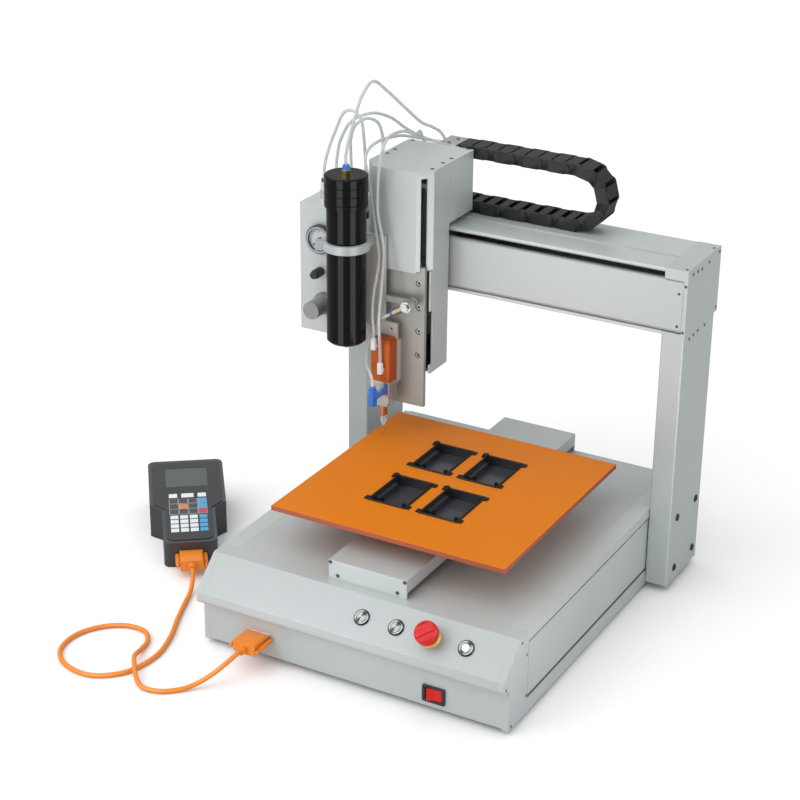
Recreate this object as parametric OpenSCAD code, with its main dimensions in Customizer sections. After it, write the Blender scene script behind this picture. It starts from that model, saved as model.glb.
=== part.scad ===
// Desktop dispensing robot: base with a Y table, gantry with an X beam,
// Z head with a dispensing valve, and a wired teach pendant.
// Origin at the centre of the base footprint on the floor, front towards -Y.

/* [Base] */
// Width of the base over its side rails
base_w = 420; // [400:5:460]
// Depth of the base from front panel to back panel
base_d = 510; // [490:5:550]
// Height of the base body above its plinth
base_h = 110; // [104:1:124]
// Height of the set-back plinth plate under the base
plinth_h = 6; // [4:0.5:10]
// Set-back of the plinth plate from the base edges
plinth_inset = 10; // [9:1:30]
// Thickness of the sheet-metal panels
sheet = 2; // [1.5:0.25:2.5]
// Width of the side rail's top flange
rail_w = 23; // [18:1:30]
// Wall thickness of the side rail
rail_wall = 8; // [6:0.5:10]
// Thickness of the side rail's flanges
rail_flange = 4; // [3:0.5:5]
// Width of the T-groove lines in the side rail
groove_w = 3; // [2:0.25:4]
// Depth of the T-groove lines
groove_depth = 3; // [2:0.25:4]
// Distance of the upper groove below the top
groove_drop = 14.5; // [11:0.5:20]
// Distance of the lower groove above the bottom
groove_rise = 21; // [14:0.5:28]

/* [Console] */
// Reach of the console lip in front of the base
lip_reach = 15.5; // [12:0.5:20]
// Height of the console lip's front edge
lip_h = 17; // [13:0.5:22]
// Height of the sloped control panel
slope_drop = 37; // [34:0.5:40]
// Depth of the sloped control panel
slope_run = 40.5; // [38:0.5:44]
// Thickness of the cheek plates at the console ends
cheek_t = 8; // [6:0.5:10]
// Depth of the cheek plates behind the front panel
cheek_d = 48; // [44:1:60]
// Spacing of the four controls on the slope
control_pitch = 46.2; // [42:0.2:48]
// Place of the first control from the centre
control_x = 12.6; // [6:0.2:18]
// Radius of a push button's bezel
bezel_r = 10; // [9.5:0.25:11]
// Radius of a push button's cap
cap_r = 6.5; // [6:0.25:7]
// Radius of the emergency stop's mushroom head
estop_r = 14.5; // [13.5:0.25:16]
// Width of the power rocker's frame
rocker_w = 30; // [29:0.5:33]
// Height of the power rocker's frame
rocker_h = 22; // [21:0.5:25]
// Place of the power rocker from the centre
rocker_x = 113; // [95:1:125]
// Height of the power rocker's centre above the base bottom
rocker_z = 20; // [19:0.5:26]
// Place of the pendant socket from the centre
socket_x = -130; // [-145:1:-110]
// Height of the pendant socket's centre above the base bottom
socket_z = 26; // [22:0.5:32]

/* [Gantry] */
// Thickness of the columns
column_w = 30.6; // [26:0.2:36]
// Depth of the columns
column_d = 102; // [96:1:106]
// Gap between the columns' back and the base's back
column_inset = 8; // [5:0.5:12]
// Wall thickness of the columns
column_wall = 5; // [4:0.5:7]
// Gap between the columns' bottom and the base's bottom
column_lift = 4; // [2:0.5:8]
// Clear height between the base top and the beam
portal_h = 243.7; // [235:0.1:260]
// Height of the beam
beam_h = 86.6; // [84:0.2:92]
// Depth of the beam
beam_d = 110; // [106:1:116]
// Wall thickness of the beam
beam_wall = 4; // [3:0.5:5]
// Height of the beam's front cover
beam_cover_h = 73; // [70:0.5:76]
// Height of the beam's top nose above the slot
beam_nose = 5.3; // [4.5:0.1:6]

/* [Axes] */
// Width of the linear rails
lin_rail_w = 12; // [10:0.5:14]
// Height of the linear rails
lin_rail_h = 10; // [8:0.5:11]
// Radius of the X and Y screws
screw_r = 6; // [5:0.25:7]
// Radius of the Z screw
z_screw_r = 5; // [4:0.25:5.5]
// Side of the X drive motor
x_motor_side = 42; // [38:0.5:44]
// Length of the X drive motor
x_motor_len = 40; // [34:1:46]
// Side of the Y drive motor
y_motor_side = 56; // [52:0.5:57]
// Length of the Y drive motor
y_motor_len = 50; // [40:1:53]
// Side of the Z drive motor
z_motor_side = 35; // [30:0.5:36]
// Length of the Z drive motor
z_motor_len = 36; // [30:1:40]

/* [Table] */
// Half width of the raised Y cover
cover_half = 53.6; // [52:0.2:58]
// Height of the raised Y cover above the base top
cover_h = 25; // [23:0.5:28]
// Front end of the raised Y cover, from the base front
cover_front = 39; // [37:1:44]
// Side of the square fixture plate
fixture_side = 320; // [300:1:340]
// Thickness of the fixture plate
fixture_t = 6; // [5:0.5:8]
// Height of the fixture plate's top above the base top
fixture_rise = 55.7; // [54:0.1:56.5]
// Place of the fixture plate's centre across the base
fixture_x = 4; // [0:0.5:6]
// Place of the fixture plate's centre along the base
fixture_y = -22.7; // [-30:0.1:-15]
// Width of a workpiece tray
tray_w = 53; // [48:0.5:56]
// Depth of a workpiece tray
tray_d = 78; // [70:0.5:84]
// Height of a workpiece tray
tray_h = 16; // [12:0.5:18]
// Wall thickness of a workpiece tray
tray_wall = 2; // [1.5:0.25:3]
// Spacing of the trays across the plate
tray_pitch_x = 72; // [70:0.5:76]
// Spacing of the trays along the plate
tray_pitch_y = 108; // [100:1:112]
// Place of the tray group along the base
tray_y = -16; // [-20:0.5:-12]

/* [Head] */
// Place of the head's centre along the beam
head_x = -133.5; // [-140:0.5:-125]
// Width of the head
head_w = 95; // [93:0.5:100]
// Depth of the bevelled front corners
bevel_d = 19; // [18:0.5:21]
// Width of the bevelled front corners
bevel_w = 15.5; // [15:0.25:17]
// Depth of the head's channel behind the bevels
channel_d = 41.5; // [41:0.5:44]
// Thickness of the head's back plate
back_t = 8; // [6:0.5:9]
// Gap between the head's back plate and the beam
head_gap = 5.3; // [5:0.1:6]
// Height of the head's channel
channel_h = 271; // [266:1:276]
// Height of the head's top face above the beam
head_rise = 87.7; // [85:0.1:92]
// Thickness of the head's top plate
head_top_t = 3; // [2:0.5:4]
// Height of the head's front cover
front_cover_h = 129; // [126:0.5:134]
// Depth of the rear box over the beam
rear_box_d = 64; // [58:0.5:66]
// Gap between the rear box and the beam's top
rear_box_gap = 6.7; // [5:0.1:10]

/* [Tool] */
// Half width of the tool plate
plate_half = 42.5; // [41.5:0.1:43]
// Thickness of the tool plate
plate_t = 6; // [5:0.25:6.5]
// Length of the tool plate
plate_l = 193; // [183:1:201]
// Height of the tool plate's top above the front cover's bottom edge
plate_rise = 5; // [2:0.5:16]
// Radius of the syringe barrel
barrel_r = 25.5; // [24:0.1:26]
// Length of the syringe barrel
barrel_l = 212; // [200:1:220]
// Radius of the barrel cap
barrel_cap_r = 28; // [27:0.1:28.5]
// Height of the barrel cap
barrel_cap_h = 41; // [36:0.5:46]
// Width of the dispensing valve
valve_w = 28; // [25:0.5:30]
// Depth of the dispensing valve
valve_d = 22; // [20:0.5:23]
// Height of the valve's actuator
valve_top_h = 58; // [52:0.5:62]
// Height of the valve's fluid block
valve_low_h = 35; // [32:0.5:37]
// Radius of the needle's steel tube
needle_r = 0.9; // [0.6:0.05:1.2]
// Outside radius of the air hoses
hose_r = 2; // [1.5:0.1:2]

/* [Pendant] */
// Width of the pendant's head
pendant_w = 104; // [96:1:112]
// Width of the pendant's grip
grip_w = 72; // [64:1:80]
// Length of the pendant's body
pendant_l = 195; // [185:1:205]
// Length of the pendant's head
pendant_head_l = 104; // [96:1:112]
// Depth of the pendant at its grip end
pendant_low = 36; // [32:0.5:40]
// Depth of the pendant at its head end
pendant_high = 62; // [56:0.5:68]
// Outside radius of the pendant cable
cable_r = 3; // [2.5:0.1:3]

/* [Clearances] */
// Gap between a sliding or turning piece and what it passes
run_gap = 0.3; // [0.2:0.05:0.4]
// Radial gap of a shaft in its bearing
bearing_gap = 0.05; // [0.02:0.01:0.08]
// Gap between the barrel and the pieces round it
grip_gap = 0.15; // [0.1:0.05:0.3]

/* [Hidden] */
$fn = 48;
eps = 0.01;

// Base planes
base_x = base_w / 2;
front_y = -base_d / 2;
back_y = base_d / 2;
floor_z = plinth_h;
top_z = plinth_h + base_h;
inner_x = base_x - cheek_t;
lip_y = front_y - lip_reach;
lip_top = top_z - slope_drop;
lip_low = lip_top - lip_h;
slope_end = lip_y + slope_run;
slope_angle = atan2(slope_drop, slope_run);
lip_round = 7;
rail_y0 = front_y + cheek_d;
rail_y1 = back_y - sheet;

// Y axis inside the base
bed_half = 44;
bed_wall = 4;
bed_t = 6;
bed_top = top_z - 30;
bed_front = front_y + 51;
bed_back = back_y - y_motor_len - 14;
y_rail_x = 28;
y_screw_z = bed_top + 18;
opening_half = 46;
cover_y0 = front_y + cover_front;
skirt_gap = 8;
wing_z0 = top_z + 1.5;
wing_t = 5.5;
carriage_half = 39.5;
carriage_l = 70;
carriage_y = fixture_y - 29;
upright_x = 70;
upright_t = 8;
fixture_top = top_z + fixture_rise;
fixture_low = fixture_top - fixture_t;
flange_t = 5.7;
flange_reach = 42;
flange_l = 150;
tray_rim = 1.5;
tray_gap = 0.4;
tray_lug = 5;

// Gantry planes
col_y1 = back_y - column_inset;
col_y0 = col_y1 - column_d;
col_z0 = floor_z + column_lift;
beam_z = top_z + portal_h;
beam_top = beam_z + beam_h;
beam_y0 = col_y0;
beam_y1 = beam_y0 + beam_d;
end_x = base_x + column_w;
end_wall = 5;
x_axis_y = beam_y0 + 27;
x_screw_z = beam_z + 45;
x_rail_z = beam_z + beam_wall;
journal_r = 4;
journal_l = 14;
beam_cover_t = 2.5;
beam_fold = 8;
slot_z0 = beam_z + beam_cover_h;
slot_z1 = beam_top - beam_nose;
trough_d = 2;

// Head planes, measured along the machine
back_y1 = beam_y0 - head_gap;
back_y0 = back_y1 - back_t;
side_y0 = back_y1 - channel_d;
flat_y = side_y0 - bevel_d;
flat_half = head_w / 2 - bevel_w;
head_z1 = beam_top + head_rise;
channel_z1 = head_z1 - head_top_t;
channel_z0 = channel_z1 - channel_h;
wall = 2.5;
cover_sheet = 2;
front_low = channel_z1 - front_cover_h;
slot_top = channel_z1 - 6;
rear_y1 = back_y1 + rear_box_d;
rear_z0 = beam_top + rear_box_gap;
arm_t = 7;
arm_z0 = (slot_z0 + slot_z1 - arm_t) / 2;
arm_half = 35;
shelf_t = 6;
shelf_z = channel_z1 - 22;

// Tool planes
plate_y0 = flat_y + cover_sheet + 4;
plate_y1 = plate_y0 + plate_t;
plate_z1 = front_low + plate_rise;
plate_z0 = plate_z1 - plate_l;
slot_pad = 0.9;
wall_y0 = plate_y1 + slot_pad + 0.2;
slider_h = 75;
slider_half = 30;
slider_z1 = plate_z1 - 2;
z_rail_w = 15;
z_rail_d = 12;
z_screw_dx = 20;
z_screw_y = plate_y1 + 19;
z_journal_r = 3;
strip_t = 5;
spacer_d = 9;
strip_y1 = plate_y0 - spacer_d;
strip_y0 = strip_y1 - strip_t;
valve_y1 = strip_y0;
valve_y0 = valve_y1 - valve_d;
valve_x = head_x - 2.5;
valve_y = (valve_y0 + valve_y1) / 2;
tip_gap = 2.8;
tip_z = fixture_top + tip_gap;
needle_l = 45;
valve_z0 = tip_z + needle_l;
valve_mid = valve_z0 + valve_low_h;
valve_z1 = valve_mid + valve_top_h;
barrel_x = head_x - 44.5;
barrel_y = strip_y0 - 35;
barrel_z0 = valve_z1 - 4;
barrel_z1 = barrel_z0 + barrel_l;
cap_z1 = barrel_z1 + 12;
cap_z0 = cap_z1 - barrel_cap_h;
ring_z0 = cap_z0 - 57;
ring_h = 11;
ring_t = 5;
strip_x0 = barrel_x - 7;
strip_x1 = valve_x - 6;
strip_step = valve_z1 + 17;
spacer_z1 = valve_mid + 50;

// Pneumatic control box on the head's left wall
box_w = 62;
box_gap = 25;
box_panel = 3;
box_d = 54;
box_h = 175;
head_left = head_x - head_w / 2;
box_x1 = head_left - box_gap;
box_x0 = box_x1 - box_w;
box_y1 = back_y1 - 15.5;
box_y0 = box_y1 - box_d;
box_z0 = channel_z0 + 36;
box_z1 = box_z0 + box_h;
gauge_r = 19.3;
gauge_d = 10;
gauge_x = box_x0 + 33;
gauge_z = box_z0 + 131;
dial_r = 15.5;
dial_depth = 4;
needle_turn = 225;
flow_x = box_x0 + 31;
flow_z = box_z0 + 85;
reg_x = box_x0 + 37.4;
reg_z = box_z0 + 43;
fitting_spots = [[box_x0 + 19, box_y0 + 29.8], [box_x0 + 31, box_y0 + 39.8],
    [box_x0 + 54, box_y0 + 39.8]];
fitting_h = 26;
solenoid_w = 22;
solenoid_d = 22;
solenoid_z0 = channel_z1 - 136;
solenoid_z1 = channel_z1 - 78;
solenoid_split = solenoid_z0 + 30;
solenoid_port_x = head_left - 7;
solenoid_ports = [side_y0 + 5.8, side_y0 + 16.3];

// Drag chain: pivots follow the lower run, a half circle and the upper run
link_pitch = 19;
link_half = 7.7;
chain_turn = 30;
chain_r = link_pitch / (2 * sin(chain_turn / 2));
chain_bends = 180 / chain_turn;
chain_links = 9;
chain_w = 36;
chain_y = rear_y1 + 21.5;
chain_x = head_x + 192.5;
chain_foot = 0.8;
chain_z = beam_top + chain_foot + link_half;
link_t = 2;
stud_r = 2.6;
stud_l = 1.3;
bar_l = 9;
bar_t = 1.8;
outer_lid = 16.5;
inner_lid = 11.5;
chain_top = chain_z + 2 * chain_r + link_half;
chain_end = chain_x - chain_links * link_pitch;
tie_w = 4;
tie_l = 26;
tie_x0 = chain_end - tie_l;
tie_z0 = chain_top - 18.4;
tie_plate_t = 2.5;

// Plug and pendant places
hood_w = 31;
hood_t = 15;
hood_l = 36;
flange_d = 5;
dsub_l = hood_l + flange_d;
pendant_at = [-335, -105, 0];
pendant_turn = 37;
pendant_tilt = atan2(pendant_high - pendant_low, pendant_l);
plug_rise = 18;
handle_w = 59;
handle_l = 19;
handle_t = 10;
handle_bar = 7;

// Hand-laid routes of the hoses and of the cable
hose_steps = 2;
route_cap = [[-178, 36, 545], [-178, 36, 558], [-175, 40, 580], [-172, 50, 607], [-171, 65, 628],
    [-170, 90, 639], [-166, 120, 619], [-159, 150, 593], [-151, 180, 567], [-144, 198, 557],
    [-138, 209, 548.5], [-133.5, 214.5, 537.6]];
route_over = [[-138.6, 211, 522], [-146.5, 211, 522], [-157, 210.5, 526.5], [-163, 208, 536],
    [-162.5, 201, 546], [-157, 188, 552], [-151, 172, 554.5], [-148.5, 158, 557], [-152, 135, 566],
    [-150, 100, 570], [-146, 78, 567], [-146, 67, 552], [-148, 64, 522], [-147, 62, 479], [-138, 62, 432],
    [-135.5, 52, 385], [-134, 43.5, 348], [-133.2, 42.5, 322], [-133, 44.3, 303], [-133, 45, 284]];
route_side = [[-138.6, 235, 527], [-150, 235, 527], [-165, 233, 527], [-180, 225, 530], [-188, 200, 538],
    [-181, 165, 547], [-175, 120, 555], [-177, 95, 552], [-177, 82, 541], [-169, 74, 522], [-161, 70, 492],
    [-152, 66, 452], [-145, 62, 417], [-147, 52, 373], [-145, 46, 345], [-143, 45, 328], [-143, 45, 316]];
route_fluid = [[-122.2, 52, 350.2], [-130, 49.6, 345.6], [-138, 50, 339], [-146.5, 53.5, 328.5],
    [-153.5, 57, 314], [-157, 57, 299], [-156.5, 52, 285.5], [-150.5, 42, 275.5], [-142.7, 35.2, 271.2],
    [-137, 30.8, 264], [-135, 29.2, 254.5]];
route_box = [[-249, 100, 497], [-249, 100, 508], [-246, 100, 525], [-239, 100, 546], [-228.5, 98, 569],
    [-220, 95.6, 585.5], [-213.4, 94.3, 593], [-204.5, 93.3, 595.8], [-195.8, 92.7, 593.2],
    [-189.8, 92.6, 586.5], [-187.5, 93, 578], [-187, 96, 558], [-187.2, 99.5, 530],
    [-187.7, 102, 505], [-188, 103.5, 485], [-188, 104, 470], [-188, 104, 461]];
route_supply = [[-237, 110, 497], [-237, 110, 508], [-236, 111, 525], [-231.5, 113, 549], [-218, 118, 574],
    [-198, 135, 583], [-185, 160, 573], [-179, 190, 552], [-172, 214, 537], [-160, 225, 530],
    [-148, 227, 528], [-138, 227, 528]];
route_short = [[-214, 110, 497], [-214, 110, 508], [-215, 110, 535], [-214.9, 110.2, 553],
    [-211.1, 115.4, 570],
    [-202, 128, 577], [-192.9, 140.6, 570], [-189.1, 145.8, 553], [-188.5, 147, 535], [-188.5, 144.6, 519],
    [-188.3, 138.5, 506], [-188, 130.7, 496], [-188, 123, 487], [-188, 117, 477], [-188, 114.7, 467],
    [-188, 114.5, 461]];
route_cable = [[-310, -138, 18], [-304, -146, 17], [-297, -158, 11], [-291, -172, 5], [-283, -195, 3.3],
    [-268, -233, 3.1], [-250, -275, 3.1], [-240, -320, 3.1], [-250, -366, 3.1], [-282, -393, 3.1],
    [-322, -390, 3.1], [-350, -366, 3.1], [-356, -330, 3.1], [-342, -298, 3.1], [-316, -278, 3.1],
    [-288, -277, 3.1], [-270, -294, 3.3], [-263, -318, 5], [-256, -340, 10], [-243, -358, 10],
        [-230, -373, 7],
    [-213, -384, 3.4], [-190, -381, 3.2], [-171, -366, 3.4], [-158, -351, 7], [-145, -337, 16],
        [-134, -322, 27],
    [-130, -308, 32], [-130, -297, 32]];

// A straight round bar from one point to another
module bar(p, q, r) {
    d = q - p;
    translate(p) rotate([0, acos(d.z / norm(d)), atan2(d.y, d.x)]) cylinder(r = r, h = norm(d));
}

// A box from its low corner to its high corner
module block(low, high) {
    translate(low) cube(high - low);
}

// A rectangle with round corners, centred
module round_rect(w, h, r) {
    square([w - 2 * r, h], center = true);
    square([w, h - 2 * r], center = true);
    for (sx = [-1, 1], sy = [-1, 1])
        translate([sx * (w / 2 - r), sy * (h / 2 - r)]) circle(r = r);
}

// A folded sheet's section: its outer line, and the same line moved to the right by the thickness
function right_of(a, b) = let (d = b - a) [d.y, -d.x] / norm(d);
function inset_line(p, t) = let (last = len(p) - 1) [for (i = [0:last])
    let (m = right_of(p[max(i - 1, 0)], p[max(i, 1)]),
        n = right_of(p[min(i, last - 1)], p[min(i + 1, last)]))
    p[i] + t * (m + n) / (1 + m * n)];
module folded_sheet(p, t) {
    inner = inset_line(p, t);
    polygon(concat(p, [for (i = [len(p) - 1:-1:0]) inner[i]]));
}

// Draws its children as a section across the machine, from x0 to x1
module along_x(x0, x1) {
    translate([x0, 0, 0]) rotate([90, 0, 90]) linear_extrude(x1 - x0) children();
}

// Draws its children as a section along the machine, from y0 to y1
module along_y(y0, y1) {
    translate([0, y1, 0]) rotate([90, 0, 0]) linear_extrude(y1 - y0) children();
}

// Places its children on the sloped control panel, outward along +Z
module on_slope(x) {
    translate([x, lip_y + slope_run / 2, lip_top + slope_drop / 2]) rotate([slope_angle, 0, 0]) children();
}

// Places its children on the lower front panel, outward along +Z
module on_front(x, z) {
    translate([x, front_y, z]) rotate([90, 0, 0]) children();
}

// Places its children in the pendant's own frame
module at_pendant() {
    translate(pendant_at) rotate([0, 0, pendant_turn]) children();
}

// Smooth curve through the points of a route
function curve_at(a, b, c, d, t) = 0.5 * (2 * b + (c - a) * t + (2 * a - 5 * b + 4 * c - d) * t ^ 2
    + (3 * b - a - 3 * c + d) * t ^ 3);
function route_line(pts, n) = let (last = len(pts) - 1) concat(
    [for (i = [0:last - 1]) for (k = [0:n - 1])
        curve_at(pts[max(i - 1, 0)], pts[i], pts[i + 1], pts[min(i + 2, last)], k / n)], [pts[last]]);
function unit(v) = v / norm(v);
function square_to(v, t) = unit(v - (v * t) * t);
function carried(tangents, i, u) = i == len(tangents) ? []
    : let (w = square_to(u, tangents[i])) concat([w], carried(tangents, i + 1, w));

// A round cord swept along a route
module cord(pts, r, sides, n) {
    line = route_line(pts, n);
    last = len(line) - 1;
    tangents = [for (i = [0:last]) i == 0 ? unit(pts[1] - pts[0])
        : i == last ? unit(pts[len(pts) - 1] - pts[len(pts) - 2]) : unit(line[i + 1] - line[i - 1])];
    ups = carried(tangents, 0, square_to([0.2, 0.3, 1], tangents[0] + [0.01, 0, 0]));
    rings = [for (i = [0:last]) for (k = [0:sides - 1]) let (a = 360 * k / sides, u = ups[i],
        v = cross(tangents[i], u)) line[i] + r * (cos(a) * u + sin(a) * v)];
    walls = [for (i = [0:last - 1]) for (k = [0:sides - 1]) let (m = (k + 1) % sides)
        [i * sides + k, (i + 1) * sides + k, (i + 1) * sides + m, i * sides + m]];
    near = [for (k = [0:sides - 1]) k];
    far = [for (k = [sides - 1:-1:0]) last * sides + k];
    polyhedron(points = rings, faces = concat([near, far], walls));
}

// Line of the console from under its lip, round the lip and up the slope to the top
function console_line() = concat(
    [[front_y, lip_low]],
    [for (a = [0:15:90]) [lip_y + lip_round - lip_round * sin(a), lip_low + lip_round - lip_round * cos(a)]],
    [[lip_y, lip_top], [slope_end, top_z], [rail_y0, top_z]]);

module chassis() color("silver") {
    block([-inner_x, front_y + sheet, floor_z], [inner_x, back_y - sheet, floor_z + sheet]);
    block([plinth_inset - base_x, front_y + plinth_inset, 0],
        [base_x - plinth_inset, back_y - plinth_inset, floor_z + eps]);
    for (s = [-1, 1])
        block([s > 0 ? bed_half - bed_wall : -bed_half, bed_front, floor_z + sheet - eps],
            [s > 0 ? bed_half : bed_wall - bed_half, bed_back, bed_top]);
    block([-bed_half, bed_front, bed_top - bed_t], [bed_half, bed_back, bed_top]);
    difference() {
        for (y = [bed_front, bed_back - bed_t])
            block([-bed_half, y, floor_z + sheet - eps], [bed_half, y + bed_t, y_screw_z + 10]);
        translate([0, bed_front - eps, y_screw_z]) rotate([-90, 0, 0])
            cylinder(r = journal_r + bearing_gap, h = bed_t + 2 * eps);
        translate([0, bed_back - bed_t - eps, y_screw_z]) rotate([-90, 0, 0])
            cylinder(r = journal_r + 3, h = bed_t + 2 * eps);
    }
}

// Section of one side rail: wall with two grooves, an inset panel and two flanges
module rail_section() {
    recess = 1;
    difference() {
        union() {
            translate([base_x - rail_wall, floor_z]) square([rail_wall, base_h]);
            translate([base_x - rail_w, top_z - rail_flange]) square([rail_w, rail_flange]);
            translate([base_x - rail_w, floor_z + sheet]) square([rail_w, rail_flange]);
        }
        for (z = [top_z - groove_drop, floor_z + groove_rise])
            translate([base_x - groove_depth, z - groove_w / 2]) square([groove_depth + eps, groove_w]);
        translate([base_x - recess, floor_z + groove_rise])
            square([recess + eps, base_h - groove_rise - groove_drop]);
    }
}

module side_rails() color([0.74, 0.77, 0.77]) {
    along_y(rail_y0, rail_y1) rail_section();
    mirror([1, 0, 0]) along_y(rail_y0, rail_y1) rail_section();
}

module end_plates() color([0.76, 0.79, 0.79]) {
    for (x = [-base_x, base_x - cheek_t]) along_x(x, x + cheek_t) 
        polygon(concat([[rail_y0, floor_z], [front_y, floor_z]], console_line()));
    for (y = [cover_y0, back_y - sheet])
        block([-cover_half, y, top_z], [cover_half, y + sheet, top_z + cover_h]);
}

module console() color([0.84, 0.87, 0.87]) {
    difference() {
        along_x(-inner_x, inner_x) folded_sheet(concat([[front_y, floor_z + sheet]], console_line()), sheet);
        for (i = [0, 1, 3]) on_slope(control_x + i * control_pitch)
            translate([0, 0, -3 * sheet]) cylinder(r = bezel_r - 2, h = 6 * sheet);
        on_slope(control_x + 2 * control_pitch)
            translate([0, 0, -3 * sheet]) cylinder(r = estop_r - 3.5, h = 6 * sheet);
        on_front(rocker_x, floor_z + rocker_z)
            translate([0, 0, -sheet - 1]) linear_extrude(sheet + 2)
                square([rocker_w - 2, rocker_h - 2], center = true);
        on_front(socket_x, floor_z + socket_z)
            translate([0, 0, -sheet - 1]) linear_extrude(sheet + 2) square([20, 11], center = true);
    }
}

module base_panels() color([0.62, 0.65, 0.65]) {
    panel_x = base_x - rail_w;
    difference() {
        block([-panel_x, rail_y0, top_z - sheet], [panel_x, back_y - sheet - run_gap, top_z]);
        block([-opening_half, cover_y0 + sheet + 3, top_z - sheet - 1],
            [opening_half, back_y - sheet - 4, top_z + 1]);
    }
    difference() {
        block([-inner_x, back_y - sheet, floor_z], [inner_x, back_y, top_z]);
        translate([-inlet_x, back_y - sheet - 1, inlet_z]) rotate([-90, 0, 0])
            linear_extrude(sheet + 2) square([27.5, 20], center = true);
    }
}

module y_cover() color([0.72, 0.75, 0.75]) along_y(cover_y0 + sheet, back_y - sheet)
    folded_sheet([[-cover_half, top_z + skirt_gap], [-cover_half, top_z + cover_h],
        [cover_half, top_z + cover_h],
        [cover_half, top_z + skirt_gap]], sheet);

// Rail section with waisted sides, standing on the origin
module rail_profile(w, h) {
    polygon([[-w / 2, 0], [w / 2, 0], [w / 2, h * 0.4], [w / 2 - 1.2, h * 0.55], [w / 2 - 1.2, h * 0.75],
        [w / 2, h * 0.9], [w / 2, h], [-w / 2, h], [-w / 2, h * 0.9], [1.2 - w / 2, h * 0.75],
        [1.2 - w / 2, h * 0.55], [-w / 2, h * 0.4]]);
}

module frame_rails() color("silver") {
    for (s = [-1, 1]) along_y(bed_front + bed_t, bed_back - bed_t)
        translate([s * y_rail_x, bed_top]) rail_profile(lin_rail_w, lin_rail_h);
    along_x(-base_x + 2, base_x - 2) translate([x_axis_y, x_rail_z]) rail_profile(lin_rail_w, lin_rail_h);
}

// A stepper motor: square stack with chamfered corners, face at the origin, body towards -Z
module motor(side, length, bore_r) {
    cut = side * 0.1;
    h = side / 2;
    difference() {
        union() {
            translate([0, 0, -length]) linear_extrude(length)
                polygon([[-h + cut, -h], [h - cut, -h], [h, -h + cut], [h, h - cut],
                    [h - cut, h], [-h + cut, h], [-h, h - cut], [-h, -h + cut]]);
        }
        translate([0, 0, -journal_l - 1]) cylinder(r = bore_r, h = journal_l + 2);
    }
}

module drive_motors() color([0.2, 0.2, 0.21]) {
    translate([0, bed_back, y_screw_z]) rotate([90, 0, 0])
        motor(y_motor_side, y_motor_len, journal_r + bearing_gap);
    translate([x_motor_face, x_axis_y, x_screw_z]) rotate([0, 90, 0])
        motor(x_motor_side, x_motor_len, journal_r + bearing_gap);
}

x_motor_face = -end_x + end_wall + x_motor_len;

// A drive screw along +Z with a bearing journal at each end
module drive_screw(length, r, end_r, low, high) {
    translate([0, 0, -low]) cylinder(r = end_r, h = low + length + high);
    cylinder(r = r, h = length);
    for (z = [8:8:length - 8]) translate([0, 0, z]) cylinder(r = r + 0.15, h = 4);
}

module y_screw() color([0.75, 0.75, 0.78])
    translate([0, bed_front + bed_t + 2, y_screw_z]) rotate([-90, 0, 0])
        drive_screw(bed_back - bed_front - 2 * bed_t - 4, screw_r - 0.15, journal_r, bed_t + 2,
            bed_t + journal_l);

module x_screw() color([0.75, 0.75, 0.78])
    translate([x_motor_face + 1, x_axis_y, x_screw_z]) rotate([0, 90, 0])
        drive_screw(base_x - 2 - x_motor_face, screw_r - 0.15, journal_r, journal_l, 14);

// Power supply and control board on the pan, power inlet in the back, pendant socket in the front
inlet_x = 140;
inlet_z = floor_z + 48;
module electronics() color([0.55, 0.57, 0.55]) {
    pan = floor_z + sheet;
    block([-inner_x + 30, -60, pan], [-inner_x + 130, 100, pan + 38]);
    difference() {
        block([70, -110, pan], [180, 60, pan + 9.6]);
        block([69, -111, pan - 1], [181, 61, pan + 8]);
    }
    for (x = [72, 174], y = [-108, 54]) block([x, y, pan], [x + 4, y + 4, pan + 8 + eps]);
    for (i = [0:3]) block([84 + 24 * i, -96, pan + 9.6 - eps], [100 + 24 * i, -70, pan + 18]);
    block([90, 0, pan + 9.6 - eps], [130, 40, pan + 16]);
    translate([-inlet_x, back_y - sheet, inlet_z]) rotate([-90, 0, 0]) difference() {
        union() {
            translate([0, 0, -22]) linear_extrude(22 + sheet) round_rect(27, 19.5, 3);
            translate([0, 0, sheet]) linear_extrude(3) round_rect(48, 24, 6);
        }
        translate([0, 0, -14]) linear_extrude(30) round_rect(24, 16, 3);
    }
    for (dx = [-7, 0, 7]) translate([-inlet_x + dx - 1, back_y - sheet - 16,
        inlet_z + (dx == 0 ? 2 : -2) - 2])
        cube([2, 14, 4]);
    on_front(socket_x, floor_z + socket_z) {
        translate([0, 0, -sheet - 10]) linear_extrude(sheet + 10 + 6) round_rect(18, 9, 2);
        translate([0, 0, eps]) linear_extrude(1) square([hood_w, 12.5], center = true);
    }
}

// One button's bezel: flange on the panel and a barrel behind it, open for the cap
module bezel() difference() {
    union() {
        rotate_extrude() polygon([[0, 0], [bezel_r, 0], [bezel_r, 1.2], [bezel_r - 1, 2.2], [0, 2.2]]);
        translate([0, 0, -20]) cylinder(r = bezel_r - 2.2, h = 20 + eps);
    }
    translate([0, 0, -7]) cylinder(r = cap_r + run_gap, h = 12);
}

module control_bezels() color([0.7, 0.71, 0.72]) {
    for (i = [0, 1, 3]) on_slope(control_x + i * control_pitch) bezel();
    on_front(rocker_x, floor_z + rocker_z) difference() {
        union() {
            linear_extrude(2.5) round_rect(rocker_w, rocker_h, 2);
            translate([0, 0, -18]) linear_extrude(18 + eps)
                square([rocker_w - 2.4, rocker_h - 2.4], center = true);
        }
        translate([0, 0, -14]) linear_extrude(20)
            square([rocker_w - 8, rocker_h - 5], center = true);
    }
}

// One button's cap, standing a little proud of its bezel
module button_cap() rotate_extrude()
    polygon([[0, -4], [cap_r, -4], [cap_r, 2.6], [cap_r - 0.5, 3.1], [0, 3.1]]);

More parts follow.
